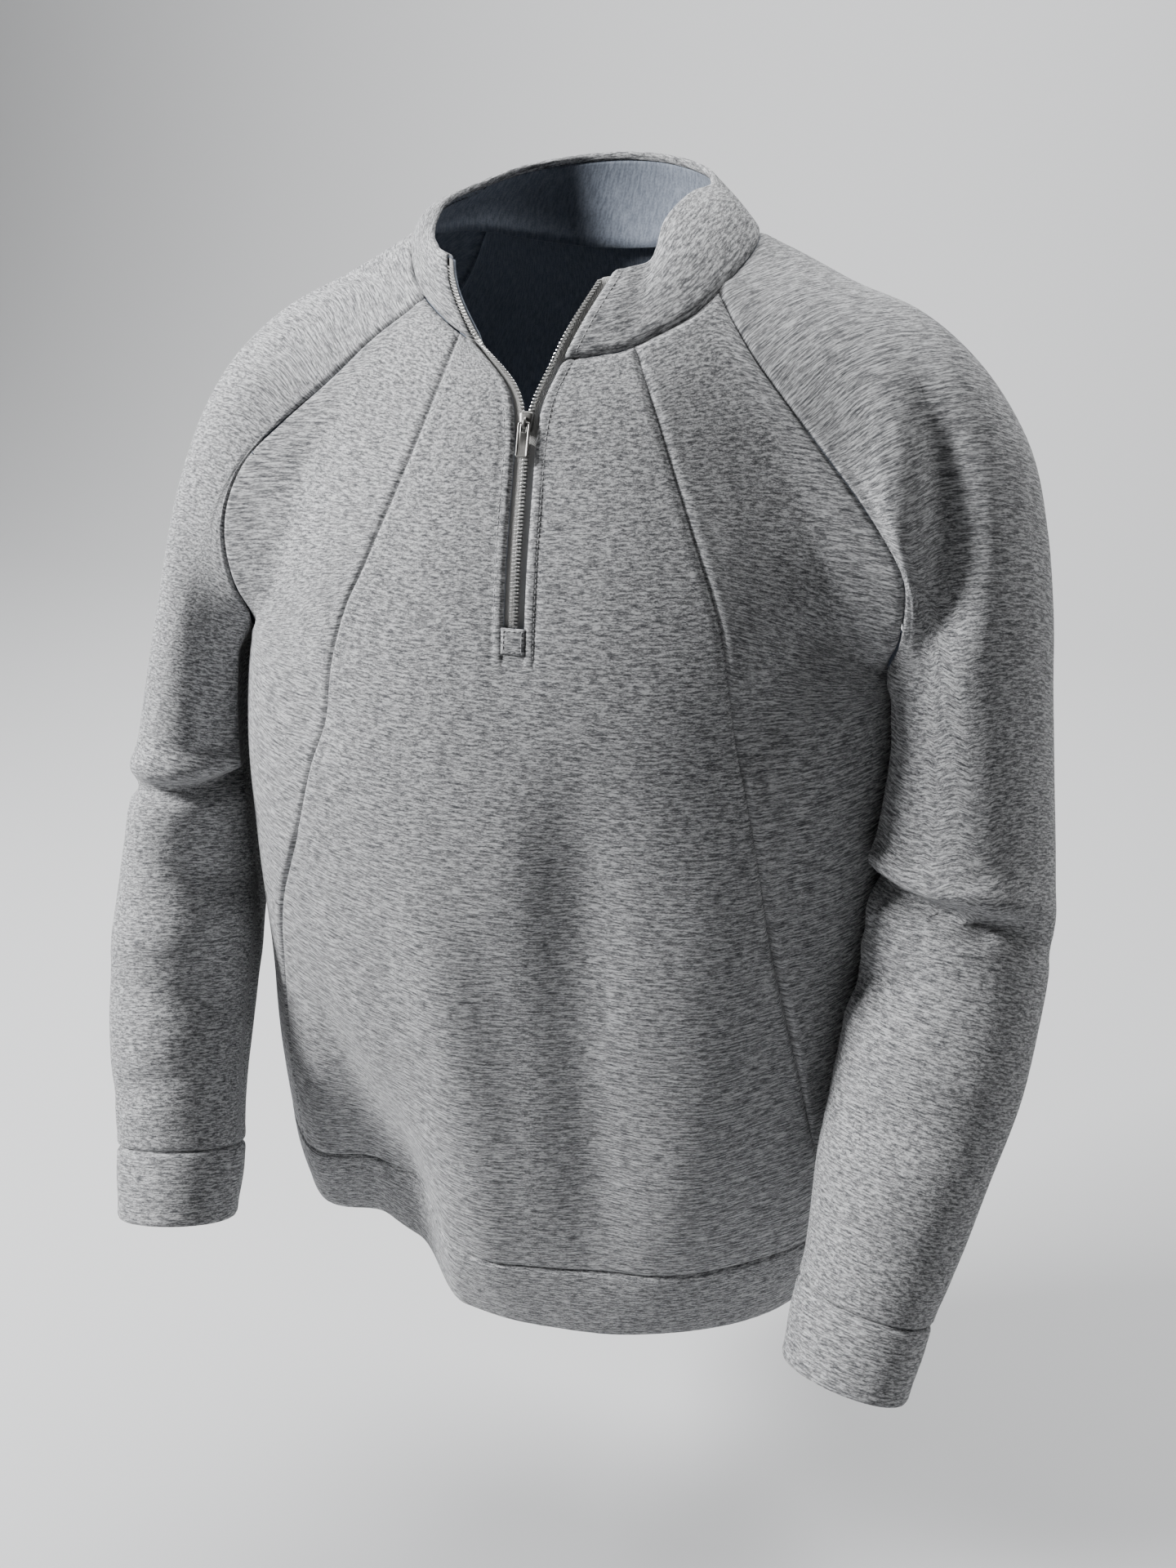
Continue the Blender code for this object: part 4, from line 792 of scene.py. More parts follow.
@dataclass
class Shell:
    """A thin wall of cloth with its outer face on a grid of points."""

    name: str
    outer: Points
    normal: Points
    thickness: float
    ring: bool = False
    skip: Points | None = None
    evened: float = 0.85
    level: float = 0.85

    def build(self) -> bpy.types.Object:
        """Makes the shell as a mesh object with its cloth measured in a UV map.

        Returns:
            The object, smooth shaded, in no finish yet.
        """
        grid = self.outer
        rows, columns = grid.shape[:2]
        cells = columns if self.ring else columns - 1
        inner = grid - self.normal * self.thickness
        points = np.concatenate([grid.reshape(-1, 3), inner.reshape(-1, 3)])
        offset = rows * columns
        r, c = np.meshgrid(np.arange(rows - 1), np.arange(cells), indexing="ij")
        keep = np.ones(r.shape, bool) if self.skip is None else ~self.skip
        r, c = r[keep], c[keep]
        after = (c + 1) % columns
        corners = np.stack([r * columns + c, r * columns + after,
                            (r + 1) * columns + after, (r + 1) * columns + c], -1)
        faces = [corners, corners[:, ::-1] + offset]
        faces.append(self.rims(keep, columns, offset))
        faces = np.concatenate(faces)
        across = self.measured(grid, 1, self.evened)
        up = self.measured(grid, 0, self.level)
        used, faces = np.unique(faces, return_inverse=True)
        faces = faces.reshape(-1, 4)
        mesh = bpy.data.meshes.new(self.name)
        mesh.from_pydata(points[used].tolist(), [], faces.tolist())
        layer = mesh.uv_layers.new(name="cloth")
        flat = np.stack([np.tile(across.ravel(), 2), np.tile(up.ravel(), 2)], -1)[used]
        places = flat[faces.ravel()]
        if self.ring:
            first = places.reshape(-1, 4, 2)
            wide = first[..., 0].max(axis=1) - first[..., 0].min(axis=1)
            girth = float(across.max()) + float(np.diff(across[0]).mean())
            wrap = (wide > girth / 2)[:, None] & (first[..., 0] < girth / 2)
            first[..., 0] += np.where(wrap, girth, 0.0)
            places = first.reshape(-1, 2)
        layer.data.foreach_set("uv", places.astype(np.float32).ravel())
        mesh.polygons.foreach_set("use_smooth", np.ones(len(mesh.polygons), bool))
        mesh.validate()
        mesh.update()
        made = bpy.data.objects.new(self.name, mesh)
        bpy.context.scene.collection.objects.link(made)
        return made

    def rims(self, keep: Points, columns: int, offset: int) -> Points:
        """Faces that close the wall along its open edges."""
        faces = []
        for dr, dc in ((-1, 0), (0, 1), (1, 0), (0, -1)):
            if dr:
                beyond = np.zeros_like(keep)
                if dr < 0:
                    beyond[1:] = keep[:-1]
                else:
                    beyond[:-1] = keep[1:]
            elif self.ring:
                beyond = np.roll(keep, -dc, axis=1)
            else:
                beyond = np.zeros_like(keep)
                if dc > 0:
                    beyond[:, :-1] = keep[:, 1:]
                else:
                    beyond[:, 1:] = keep[:, :-1]
            r, c = np.nonzero(keep & ~beyond)
            after = (c + 1) % columns
            ends = {(-1, 0): ((r, c), (r, after)), (0, 1): ((r, after), (r + 1, after)),
                    (1, 0): ((r + 1, after), (r + 1, c)), (0, -1): ((r + 1, c), (r, c))}[dr, dc]
            a = ends[0][0] * columns + ends[0][1]
            b = ends[1][0] * columns + ends[1][1]
            faces.append(np.stack([b, a, a + offset, b + offset], -1))
        return np.concatenate(faces)

    def measured(self, grid: Points, axis: int, share: float) -> Points:
        """Distance along the cloth in metres, shared with its mean so that its courses run true."""
        lines = np.moveaxis(grid, axis, 0)
        along = lengths_along(lines)
        mean = along.mean(axis=1)
        mixed = along * (1 - share) + mean[:, None] * share
        return np.moveaxis(mixed, 0, axis)


def nodes_of(start: str) -> list:
    """Names of the solids whose names start with a word."""
    return [name for name in frame["nodes"] if name.startswith(start)]


def dressed(piece: bpy.types.Object, finish: bpy.types.Material, body: str,
            nodes: Sequence[str]) -> bpy.types.Object:
    """Gives a piece its finish, hangs it on the body it rides on and hides the solids it stands for."""
    piece.data.materials.clear()
    piece.data.materials.append(finish)
    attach(piece, body)
    if nodes:
        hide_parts(*nodes)
    LOG.info("%s: %d faces", piece.name, len(piece.data.polygons))
    return piece


def joined(name: str, parts: Sequence[tuple[Points, Sequence]], smooth: bool = True) -> bpy.types.Object:
    """One object from many small closed meshes.

    Args:
        name: The object's name.
        parts: For each mesh its points and faces.
        smooth: Whether it is shaded smooth.

    Returns:
        The object.
    """
    verts: list = []
    faces: list = []
    for points, shape in parts:
        start = len(verts)
        verts.extend(np.asarray(points).tolist())
        faces.extend([tuple(start + k for k in face) for face in shape])
    mesh = bpy.data.meshes.new(name)
    mesh.from_pydata(verts, [], faces)
    built = bmesh.new()
    built.from_mesh(mesh)
    bmesh.ops.recalc_face_normals(built, faces=built.faces)
    built.to_mesh(mesh)
    built.free()
    mesh.polygons.foreach_set("use_smooth", np.full(len(mesh.polygons), smooth))
    made = bpy.data.objects.new(name, mesh)
    bpy.context.scene.collection.objects.link(made)
    return made


# ---------------------------------------------------------------- shading

class Shade:
    """A shader socket that takes part in Python expressions."""

    def __init__(self, tree: "Tree", socket: bpy.types.NodeSocket) -> None:
        """Wraps a socket of a material's node tree."""
        self.tree = tree
        self.socket = socket

    def maths(self, operation: str, *values: "Shade | float") -> "Shade":
        """Result of a Math node with the values as its inputs."""
        return self.tree.node("ShaderNodeMath", {"operation": operation}, dict(enumerate(values)))

    def __add__(self, other: "Shade | float") -> "Shade":
        """Sum."""
        return self.maths("ADD", self, other)

    __radd__ = __add__

    def __mul__(self, other: "Shade | float") -> "Shade":
        """Product."""
        return self.maths("MULTIPLY", self, other)

    __rmul__ = __mul__

    def __sub__(self, other: "Shade | float") -> "Shade":
        """Difference."""
        return self.maths("SUBTRACT", self, other)

    def __rsub__(self, other: "Shade | float") -> "Shade":
        """Difference from a number."""
        return self.maths("SUBTRACT", other, self)

    def sine(self) -> "Shade":
        """Sine."""
        return self.maths("SINE", self)

    def smooth(self, low: float, high: float) -> "Shade":
        """Smooth step from 0 at low to 1 at high."""
        return self.tree.node("ShaderNodeMapRange", {"interpolation_type": "SMOOTHSTEP"},
                              {"Value": self, "From Min": low, "From Max": high})


class Tree:
    """A material's nodes, made one by one."""

    def __init__(self, name: str) -> None:
        """Starts a material with its Principled shader."""
        self.material = bpy.data.materials.new(name)
        self.material.use_nodes = True
        self.nodes = self.material.node_tree.nodes
        self.links = self.material.node_tree.links
        self.shader = self.nodes["Principled BSDF"]

    def node(self, kind: str, settings: dict, inputs: dict, output: int | str = 0) -> Shade:
        """Makes one node.

        Args:
            kind: The node's type.
            settings: Its properties, set before its inputs. "stops" gives a ramp's colours.
            inputs: Values or Shades by socket number or name.
            output: Which output is returned.

        Returns:
            The output as a Shade.
        """
        made = self.nodes.new(kind)
        for key, value in settings.items():
            if key == "stops":
                self.set_stops(made.color_ramp, value)
            else:
                setattr(made, key, value)
        for key, value in inputs.items():
            self.feed(made.inputs[key], value)
        return Shade(self, made.outputs[output])

    def set_stops(self, ramp_of: bpy.types.ColorRamp, stops: Sequence) -> None:
        """Sets a colour ramp's stops from pairs of place and colour."""
        while len(ramp_of.elements) < len(stops):
            ramp_of.elements.new(0.5)
        for element, (place, colour) in zip(ramp_of.elements, stops):
            element.position = place
            element.color = (*colour, 1.0)

    def feed(self, socket: bpy.types.NodeSocket, value: "Shade | float | tuple") -> None:
        """Links or sets one input."""
        if isinstance(value, Shade):
            self.links.new(value.socket, socket)
        else:
            socket.default_value = value

    def surface(self, **inputs: "Shade | float | tuple") -> bpy.types.Material:
        """Feeds the Principled shader, with _ for a space in a socket's name."""
        for key, value in inputs.items():
            self.feed(self.shader.inputs[key.replace("_", " ")], value)
        return self.material

    def cloth_place(self, across: float, up: float) -> Shade:
        """The cloth's own coordinates in metres, multiplied."""
        place = self.node("ShaderNodeUVMap", {"uv_map": "cloth"}, {})
        return self.node("ShaderNodeVectorMath", {"operation": "MULTIPLY"},
                         {0: place, 1: (across, up, 1.0)})

    def noise(self, place: Shade, detail: float = 2.0, rough: float = 0.5, warp: float = 0.0) -> Shade:
        """Noise at a place, around 0.5."""
        return self.node("ShaderNodeTexNoise", {}, {"Vector": place, "Scale": 1.0, "Detail": detail,
                                                    "Roughness": rough, "Distortion": warp})

    def mix(self, share: "Shade | float", first: "Shade | tuple", second: "Shade | tuple") -> Shade:
        """Mix of two colours."""
        made = self.nodes.new("ShaderNodeMix")
        made.data_type = "RGBA"
        for socket, value in ((made.inputs[0], share), (made.inputs[6], first), (made.inputs[7], second)):
            if isinstance(value, tuple):
                value = (*value, 1.0) if len(value) == 3 else value
            self.feed(socket, value)
        return Shade(self, made.outputs[2])

    def bump(self, height: Shade, depth: float, strength: float = 1.0) -> Shade:
        """Normal from a height in units of the depth."""
        return self.node("ShaderNodeBump", {}, {"Height": height, "Distance": depth,
                                                "Strength": strength})


@dataclass(frozen=True)
class HeatherKnit:
    """Smooth double-faced knit of mixed light, middle and dark grey yarn."""

    name: str = "heather_cloth"
    light: tuple = (0.54, 0.545, 0.555)
    middle: tuple = (0.195, 0.197, 0.203)
    dark: tuple = (0.060, 0.062, 0.068)
    fleck_length: float = 0.0052
    fleck_height: float = 0.0011
    yarn_length: float = 0.0014
    yarn_height: float = 0.0005
    bump_depth: float = 0.00020

    def material(self) -> bpy.types.Material:
        """The knit's material."""
        tree = Tree(self.name)
        flecks = tree.noise(tree.cloth_place(1 / self.fleck_length, 1 / self.fleck_height), 4.0, 0.62, 0.35)
        long_place = tree.cloth_place(1 / (self.fleck_length * 2.6), 1 / (self.fleck_height * 1.5))
        long = tree.noise(long_place, 2.0, 0.5, 0.3)
        yarn = tree.noise(tree.cloth_place(1 / self.yarn_length, 1 / self.yarn_height), 2.0, 0.6)
        blend = flecks * 0.50 + long * 0.22 + yarn * 0.28
        tone = tree.node("ShaderNodeValToRGB", {"stops": (
            (0.400, self.dark), (0.485, self.middle), (0.575, self.light))}, {"Fac": blend})
        relief = yarn * 0.6 + flecks * 0.4
        rough = 0.84 + 0.12 * yarn
        return tree.surface(Base_Color=tone, Roughness=rough, Sheen_Weight=0.10,
                            Specular_IOR_Level=0.25, Normal=tree.bump(relief, self.bump_depth, 0.5))


@dataclass(frozen=True)
class InnerKnit:
    """Blue-grey inner face of the knit, with fine upright ribs."""

    name: str = "facing_cloth"
    light: tuple = (0.235, 0.265, 0.32)
    dark: tuple = (0.13, 0.15, 0.19)
    rib: float = 0.0016

    def material(self) -> bpy.types.Material:
        """The inner face's material."""
        tree = Tree(self.name)
        ribs = tree.noise(tree.cloth_place(1 / self.rib, 160.0), 2.0, 0.5)
        yarn = tree.noise(tree.cloth_place(900.0, 900.0), 2.0, 0.6)
        tone = tree.mix((ribs * 0.6 + yarn * 0.4).smooth(0.35, 0.65), self.dark, self.light)
        return tree.surface(Base_Color=tone, Roughness=0.9, Sheen_Weight=0.1,
                            Normal=tree.bump(ribs * 0.5 + yarn * 0.5, 0.0003, 0.7))


@dataclass(frozen=True)
class TapeWeave:
    """Pale woven zip tape in a fine herringbone."""

    name: str = "zip_tape"
    light: tuple = (0.44, 0.435, 0.425)
    dark: tuple = (0.20, 0.198, 0.195)
    pick: float = 0.0008

    def material(self) -> bpy.types.Material:
        """The tape's material."""
        tree = Tree(self.name)
        turn = 2 * math.pi / self.pick
        first = tree.node("ShaderNodeSeparateXYZ", {}, {0: tree.cloth_place(turn, turn * 0.7)})
        second = Shade(tree, first.socket.node.outputs[1])
        weave = (first + second).sine() * 0.5 + 0.5
        tone = tree.mix(weave.smooth(0.1, 0.9), self.dark, self.light)
        return tree.surface(Base_Color=tone, Roughness=0.8, Sheen_Weight=0.1,
                            Normal=tree.bump(weave, 0.0002, 0.8))


@dataclass(frozen=True)
class BrushedMetal:
    """Zip metal, brushed in fine streaks of brighter and duller tone."""

    name: str
    colour: tuple
    rough: float
    grain: float = 900.0

    def material(self) -> bpy.types.Material:
        """The metal's material."""
        tree = Tree(self.name)
        place = tree.node("ShaderNodeTexCoord", {}, {}, "Object")
        drawn = tree.node("ShaderNodeVectorMath", {"operation": "MULTIPLY"},
                          {0: place, 1: (self.grain * 4, self.grain * 0.6, self.grain * 0.35)})
        scratch = tree.noise(drawn, 3.0, 0.65)
        dull = tuple(c * 0.72 for c in self.colour)
        tone = tree.mix(scratch.smooth(0.3, 0.7), dull, self.colour)
        return tree.surface(Base_Color=tone, Metallic=1.0, Roughness=self.rough + 0.2 * scratch,
                            Normal=tree.bump(scratch, 0.00004, 0.5))


@dataclass(frozen=True)
class Thread:
    """Spun sewing thread."""

    name: str
    colour: tuple

    def material(self) -> bpy.types.Material:
        """The thread's material."""
        tree = Tree(self.name)
        place = tree.node("ShaderNodeTexCoord", {}, {}, "Object")
        grain = tree.noise(tree.node("ShaderNodeVectorMath", {"operation": "SCALE"},
                                     {0: place, "Scale": 2500.0}), 2.0, 0.6)
        dull = tuple(c * 0.7 for c in self.colour)
        return tree.surface(Base_Color=tree.mix(grain.smooth(0.3, 0.7), dull, self.colour),
                            Roughness=0.75 + 0.1 * grain, Sheen_Weight=0.1)


@dataclass
class Finishes:
    """Every material of the garment, made once."""

    knit: bpy.types.Material = field(default_factory=lambda: HeatherKnit().material())
    inner: bpy.types.Material = field(default_factory=lambda: InnerKnit().material())
    tape: bpy.types.Material = field(default_factory=lambda: TapeWeave().material())
    teeth: bpy.types.Material = field(
        default_factory=lambda: BrushedMetal("zip_teeth", (0.86, 0.855, 0.84), 0.22).material())
    nickel: bpy.types.Material = field(
        default_factory=lambda: BrushedMetal("brushed_nickel", (0.25, 0.246, 0.236), 0.30).material())
    thread: bpy.types.Material = field(
        default_factory=lambda: Thread("stitch_thread", (0.42, 0.425, 0.435)).material())


# ---------------------------------------------------------------- cloth pieces

def flat_size(grid: Points, ring: bool = False) -> tuple[float, float, float]:
    """Size of the cut that a grid of cloth comes from.

    Args:
        grid: Points of the outer face.
        ring: Whether its rows close on themselves.

    Returns:
        Greatest width, greatest length and area.
    """
    closed = np.concatenate([grid, grid[:, :1]], axis=1) if ring else grid
    wide = lengths_along(np.moveaxis(closed, 1, 0))[-1].max()
    long = lengths_along(grid)[-1].max()
    first, second = closed[1:, :-1] - closed[:-1, 1:], closed[1:, 1:] - closed[:-1, :-1]
    area = np.linalg.norm(np.cross(first, second), axis=-1).sum() / 2
    return float(wide), float(long), float(min(area, wide * long))


@dataclass
class ClothWork:
    """What all the cloth pieces share: the pattern, the finishes and the fineness."""

    pattern: Pattern
    finishes: Finishes
    step: float = 0.0042
    thickness: float = 0.0019
    zip_stitch: float = 0.0058

    @property
    def form(self) -> GarmentForm:
        """The form that the pattern lies on."""
        return self.pattern.form

    def lined(self, shell: Shell, nodes: Sequence[str], rims: bool = False) -> bpy.types.Object:
        """A shell in knit outside and its blue-grey face inside, and on its rims if asked."""
        piece = dressed(shell.build(), self.finishes.knit, GARMENT_BODY, nodes)
        piece.data.materials.append(self.finishes.inner)
        cells = piece.data.polygons
        index = np.zeros(len(cells), np.int32)
        outer = self.outer_count(shell)
        index[outer:len(cells) if rims else 2 * outer] = 1
        cells.foreach_set("material_index", index)
        return piece

    def outer_count(self, shell: Shell) -> int:
        """How many faces a shell's outer side has."""
        rows, columns = shell.outer.shape[:2]
        cells = (rows - 1) * (columns if shell.ring else columns - 1)
        return cells if shell.skip is None else cells - int(shell.skip.sum())

    def zip_band(self, grid: Points, normal: Points, away: Points, share: Points) -> Points:
        """Cloth turned under at the zip and held by a row of topstitch.

        Args:
            grid: Points of the outer face.
            normal: Their normals.
            away: Distance from the zip's edge.
            share: How much of the band there is at each point.

        Returns:
            The moved points.
        """
        stitch = self.zip_stitch
        rounded = -0.0011 * np.exp(-(away / 0.0011)**2)
        puff = 0.00045 * np.sin(np.pi * np.clip(away / stitch, 0.0, 1.0))
        groove = -0.0006 * np.exp(-((away - stitch) / 0.0008)**2)
        beyond = 0.0003 * np.exp(-((away - stitch - 0.003) / 0.0018)**2)
        pucker = 0.00012 * np.sin(2 * np.pi * grid[..., 2] / 0.0028) * np.exp(
            -((away - stitch) / 0.002)**2)
        return grid + normal * ((rounded + puff + groove + beyond + pucker) * share)[..., None]


@dataclass
class BodyPanels(ClothWork):
    """Front, side fronts and back."""

    slit_columns: int = 3
    pocket_left: tuple = (-0.341, -0.455)
    pocket_right: tuple = (-0.326, -0.440)
    pocket_depth: float = 0.0016

    def fine_rows(self, grid: Points, stops: Sequence[int]) -> Points:
        """Row places of a coarse grid, close together at each stop."""
        down = lengths_along(grid).mean(axis=1)
        places = []
        for low, high in zip(stops[:-1], stops[1:]):
            at = down[low] + spread(down[high] - down[low], self.step)
            places.append(np.interp(at, down, np.arange(len(down))))
        return np.concatenate([places[0]] + [p[1:] for p in places[1:]])

    def front_columns(self, half: Points, rows: Points) -> Points:
        """One half of the front drawn out, from the zip's edge outwards."""
        length = lengths_along(half[len(half) // 2])[-1]
        near = (0.0005, 0.0011, 0.0018, 0.0028, 0.0040, 0.0049, 0.0054, 0.0058, 0.0062, 0.0067, 0.0076)
        even = np.linspace(0.0092, length - 0.0042, max(int((length - 0.0134) / self.step), 2))
        at = np.concatenate([[0.0], near, even, length - np.array([0.0026, 0.0015, 0.0007]), [length]])
        down = smooth_rows(half, rows)
        wide = lengths_along(np.moveaxis(down, 1, 0))
        mean = wide.mean(axis=1)
        places = np.interp(at / length * mean[-1], mean, np.arange(len(mean)))
        return np.moveaxis(smooth_rows(np.moveaxis(down, 1, 0), places), 0, 1)

    def shifted(self, base: Points) -> Points:
        """Points of the body with its folds."""
        return base + self.form.body_shift(base)

    def pocket(self, side: Side, grid: Points, normal: Points, away: Points) -> Points:
        """A princess seam that opens a little along the pocket's mouth."""
        top, bottom = self.pocket_left if side is Side.LEFT else self.pocket_right
        z = grid[..., 2]
        here = ramp(z, bottom - 0.004, bottom + 0.006) * ramp(z, top + 0.004, top - 0.006)
        drop = self.pocket_depth * here * np.exp(-(away / 0.0026)**2)
        lip = 0.0006 * here * np.exp(-((away - 0.006) / 0.003)**2)
        return grid + normal * (lip - drop)[..., None]

    def front(self) -> bpy.types.Object:
        """The centre front with its slit."""
        pattern = self.pattern
        slit_row = pattern.rows_below + pattern.rows_beside
        rows = self.fine_rows(pattern.front_whole(), (0, slit_row, len(pattern.back) - 1))
        halves = {side: self.front_columns(pattern.front[side], rows) for side in Side}
        right, left = halves[Side.RIGHT][:, ::-1], halves[Side.LEFT]
        part = np.linspace(0.0, 1.0, self.slit_columns + 2)[1:-1, None]
        middle = right[:, -1:] * (1 - part) + left[:, :1] * part
        base = np.concatenate([right, middle, left], axis=1)
        grid = self.shifted(base)
        normal = grid_normals(grid)
        wide = right.shape[1]
        self.plain_halves = {Side.RIGHT: grid[:, :wide][:, ::-1], Side.LEFT: grid[:, -left.shape[1]:]}
        open_rows = rows >= slit_row - 1e-9
        skip = np.zeros((len(rows) - 1, grid.shape[1] - 1), bool)
        skip[open_rows[:-1], wide - 1:wide + self.slit_columns] = True
        grid = sunk(grid, normal, {"left": SEAM, "right": SEAM, "bottom": SEAM, "top": SEAM})
        for side, columns in ((Side.RIGHT, np.s_[:, :wide]), (Side.LEFT, np.s_[:, -left.shape[1]:])):
            part = grid[columns]
            near, far = reach_from(part, 1)
            away, princess = (far, near) if side is Side.RIGHT else (near, far)
            share = ramp(part[..., 2], -0.196, -0.188)
            part = self.zip_band(part, normal[columns], away, share)
            grid[columns] = self.pocket(side, part, normal[columns], princess)
        self.halves = {Side.RIGHT: grid[:, :wide][:, ::-1], Side.LEFT: grid[:, -left.shape[1]:]}
        self.half_normals = {Side.RIGHT: normal[:, :wide][:, ::-1],
                             Side.LEFT: normal[:, -left.shape[1]:]}
        self.slit_start = int(np.argmax(open_rows))
        shell = Shell("front_cloth", grid, normal, self.thickness, skip=skip)
        piece = self.lined(shell, nodes_of("front_panel"), rims=True)
        flat_size(grid)
        return piece

    def side_front(self, side: Side) -> bpy.types.Object:
        """One side front."""
        base = drawn_out(self.pattern.sides[side], self.step)
        if side is Side.RIGHT:
            base = base[:, ::-1]
        grid = self.shifted(base)
        normal = grid_normals(grid)
        grid = sunk(grid, normal, {"left": SEAM, "right": SEAM, "bottom": SEAM, "top": SEAM})
        near, far = reach_from(grid, 1)
        grid = self.pocket(side, grid, normal, near if side is Side.LEFT else far)
        shell = Shell("side_front_cloth_" + side.word, grid, normal, self.thickness)
        piece = self.lined(shell, nodes_of("side_front_" + side.word), rims=True)
        flat_size(grid)
        return piece

    def back(self) -> bpy.types.Object:
        """The back."""
        grid = self.shifted(drawn_out(self.pattern.back, self.step))
        normal = grid_normals(grid)
        grid = sunk(grid, normal, {"left": SEAM, "right": SEAM, "bottom": SEAM, "top": SEAM})
        piece = self.lined(Shell("back_cloth", grid, normal, self.thickness), ["back_panel"],
                           rims=True)
        flat_size(grid)
        return piece

    def hem(self) -> bpy.types.Object:
        """The hem band, turned in at its lower edge."""
        base = drawn_out(self.pattern.hem_ring(), self.step, ring=True)[::-1]
        grid = self.shifted(base)
        normal = grid_normals(grid, ring=True)
        grid = sunk(grid, normal, {"top": SEAM, "bottom": SeamEdge(0.0012, 0.0016, 0.0, 0.005)})
        shell = Shell("hem_band_cloth", grid, normal, 0.0023, ring=True)
        piece = self.lined(shell, ["hem_band"])
        flat_size(grid, ring=True)
        return piece


@dataclass
class Sleeves(ClothWork):
    """Raglan sleeves with their cuff bands."""

    clearance: float = 0.0065

    def sleeve(self, side: Side) -> bpy.types.Object:
        """One sleeve from its raglan seams to the cuff seam."""
        base = drawn_out(self.pattern.sleeve_ring(side), self.step, ring=True)[::-1]
        away = reach_from(base, 0)[1]
        joined_in = ramp(away, 0.0, 0.030)[..., None]
        shift = (self.form.sleeve_shift(side, base) * joined_in
                 + self.form.body_shift(base) * (1.0 - joined_in))
        clear = self.clearance * np.clip(away / 0.020, 0.0, 1.0)
        grid = self.form.off_torso(base + shift, clear)
        if side is Side.RIGHT:
            grid = grid[:, ::-1]
        normal = self.outward(grid, side)
        grid = sunk(grid, normal, {"top": SEAM, "bottom": SEAM})
        shell = Shell("sleeve_cloth_" + side.word, grid, normal, self.thickness, ring=True, level=0.0)
        piece = self.lined(shell, nodes_of("sleeve_" + side.word), rims=True)
        flat_size(grid, ring=True)
        return piece

    def cuff(self, side: Side) -> bpy.types.Object:
        """One cuff band, turned in at its end."""
        base = drawn_out(self.pattern.cuff_ring(side), self.step, ring=True)[::-1]
        grid = self.form.off_torso(base + self.form.sleeve_shift(side, base), self.clearance)
        if side is Side.RIGHT:
            grid = grid[:, ::-1]
        normal = self.outward(grid, side)
        grid = sunk(grid, normal, {"top": SEAM, "bottom": SeamEdge(0.0011, 0.0016, 0.0, 0.005)})
        shell = Shell("cuff_cloth_" + side.word, grid, normal, 0.0022, ring=True)
        piece = self.lined(shell, ["cuff_" + side.word])
        flat_size(grid, ring=True)
        return piece

    def outward(self, grid: Points, side: Side) -> Points:
        """Normals of a ring grid, turned away from its middle."""
        normal = grid_normals(grid, ring=True)
        centre = grid.mean(axis=1, keepdims=True)
        return -normal if ((grid - centre) * normal).sum(-1).mean() < 0 else normal


@dataclass
class Collar(ClothWork):
    """The stand collar: an outer layer rolled over the top, and its facing."""

    roll: float = 0.0018
    turn_in: float = 0.0024
    facing_short: float = 0.020
    neck_cover: float = 0.006

    def outer_grid(self) -> Points:
        """The collar's outer face, drawn out."""
        return drawn_out(self.pattern.collar_band(6), 0.0036)

    def build(self) -> None:
        """Both layers."""
        face = self.outer_grid()
        face = face + grid_normals(face) * self.form.waves(face)[..., None] * 0.6
        normal = grid_normals(face)
        near, far = reach_from(face, 1)
        ones = np.ones(near.shape)
        outer = sunk(face, normal, {"bottom": SEAM})
        outer = self.zip_band(outer, normal, near, ones)
        outer = self.zip_band(outer, normal, far, ones)
        self.plain = {Side.LEFT: face, Side.RIGHT: face[:, ::-1]}
        self.edges = {Side.LEFT: outer, Side.RIGHT: outer[:, ::-1]}
        self.edge_normals = {Side.LEFT: normal, Side.RIGHT: normal[:, ::-1]}
        top, out = outer[-1], normal[-1]
        up = unit(outer[-1] - outer[-3])
        centre = top - out * self.roll
        rolled = [centre + out * self.roll * math.cos(a) + up * self.roll * math.sin(a)
                  for a in np.radians((30.0, 60.0, 90.0, 120.0, 150.0, 180.0))]
        tucked = [rolled[-1] - up * self.turn_in * part for part in (0.5, 1.0)]
        grid = np.concatenate([outer, np.array(rolled), np.array(tucked)])
        shell = Shell("collar_cloth", grid, grid_normals(grid), 0.0014)
        piece = self.lined(shell, ["collar"])
        flat_size(grid)
        self.facing(face, normal, up)

    def facing(self, face: Points, normal: Points, up: Points) -> None:
        """The inner layer, seen at the back of the neck."""
        depth = 2 * self.roll
        near, far = reach_from(face, 1)
        columns = (near[0] > self.facing_short) & (far[0] > self.facing_short)
        inner = (face - normal * depth)[:, columns]
        top = inner[-1] - up[columns] * (self.turn_in + 0.0003)
        keep = lengths_along(inner).mean(axis=1)
        inner = inner[keep < keep[-1] - self.turn_in - 0.001]
        foot = inner[0] - unit(inner[1] - inner[0]) * self.neck_cover
        grid = np.concatenate([foot[None], inner, top[None]])[:, ::-1]
        out = grid_normals(grid)
        edge = {"top": SeamEdge(0.0004, 0.0012, 0.0, 0.004)}
        grid = sunk(grid, out, edge)
        piece = dressed(Shell("collar_facing_cloth", grid, out, 0.0013).build(), self.finishes.inner,
                        GARMENT_BODY, ["collar_facing"])
        flat_size(grid)


# ---------------------------------------------------------------- zip

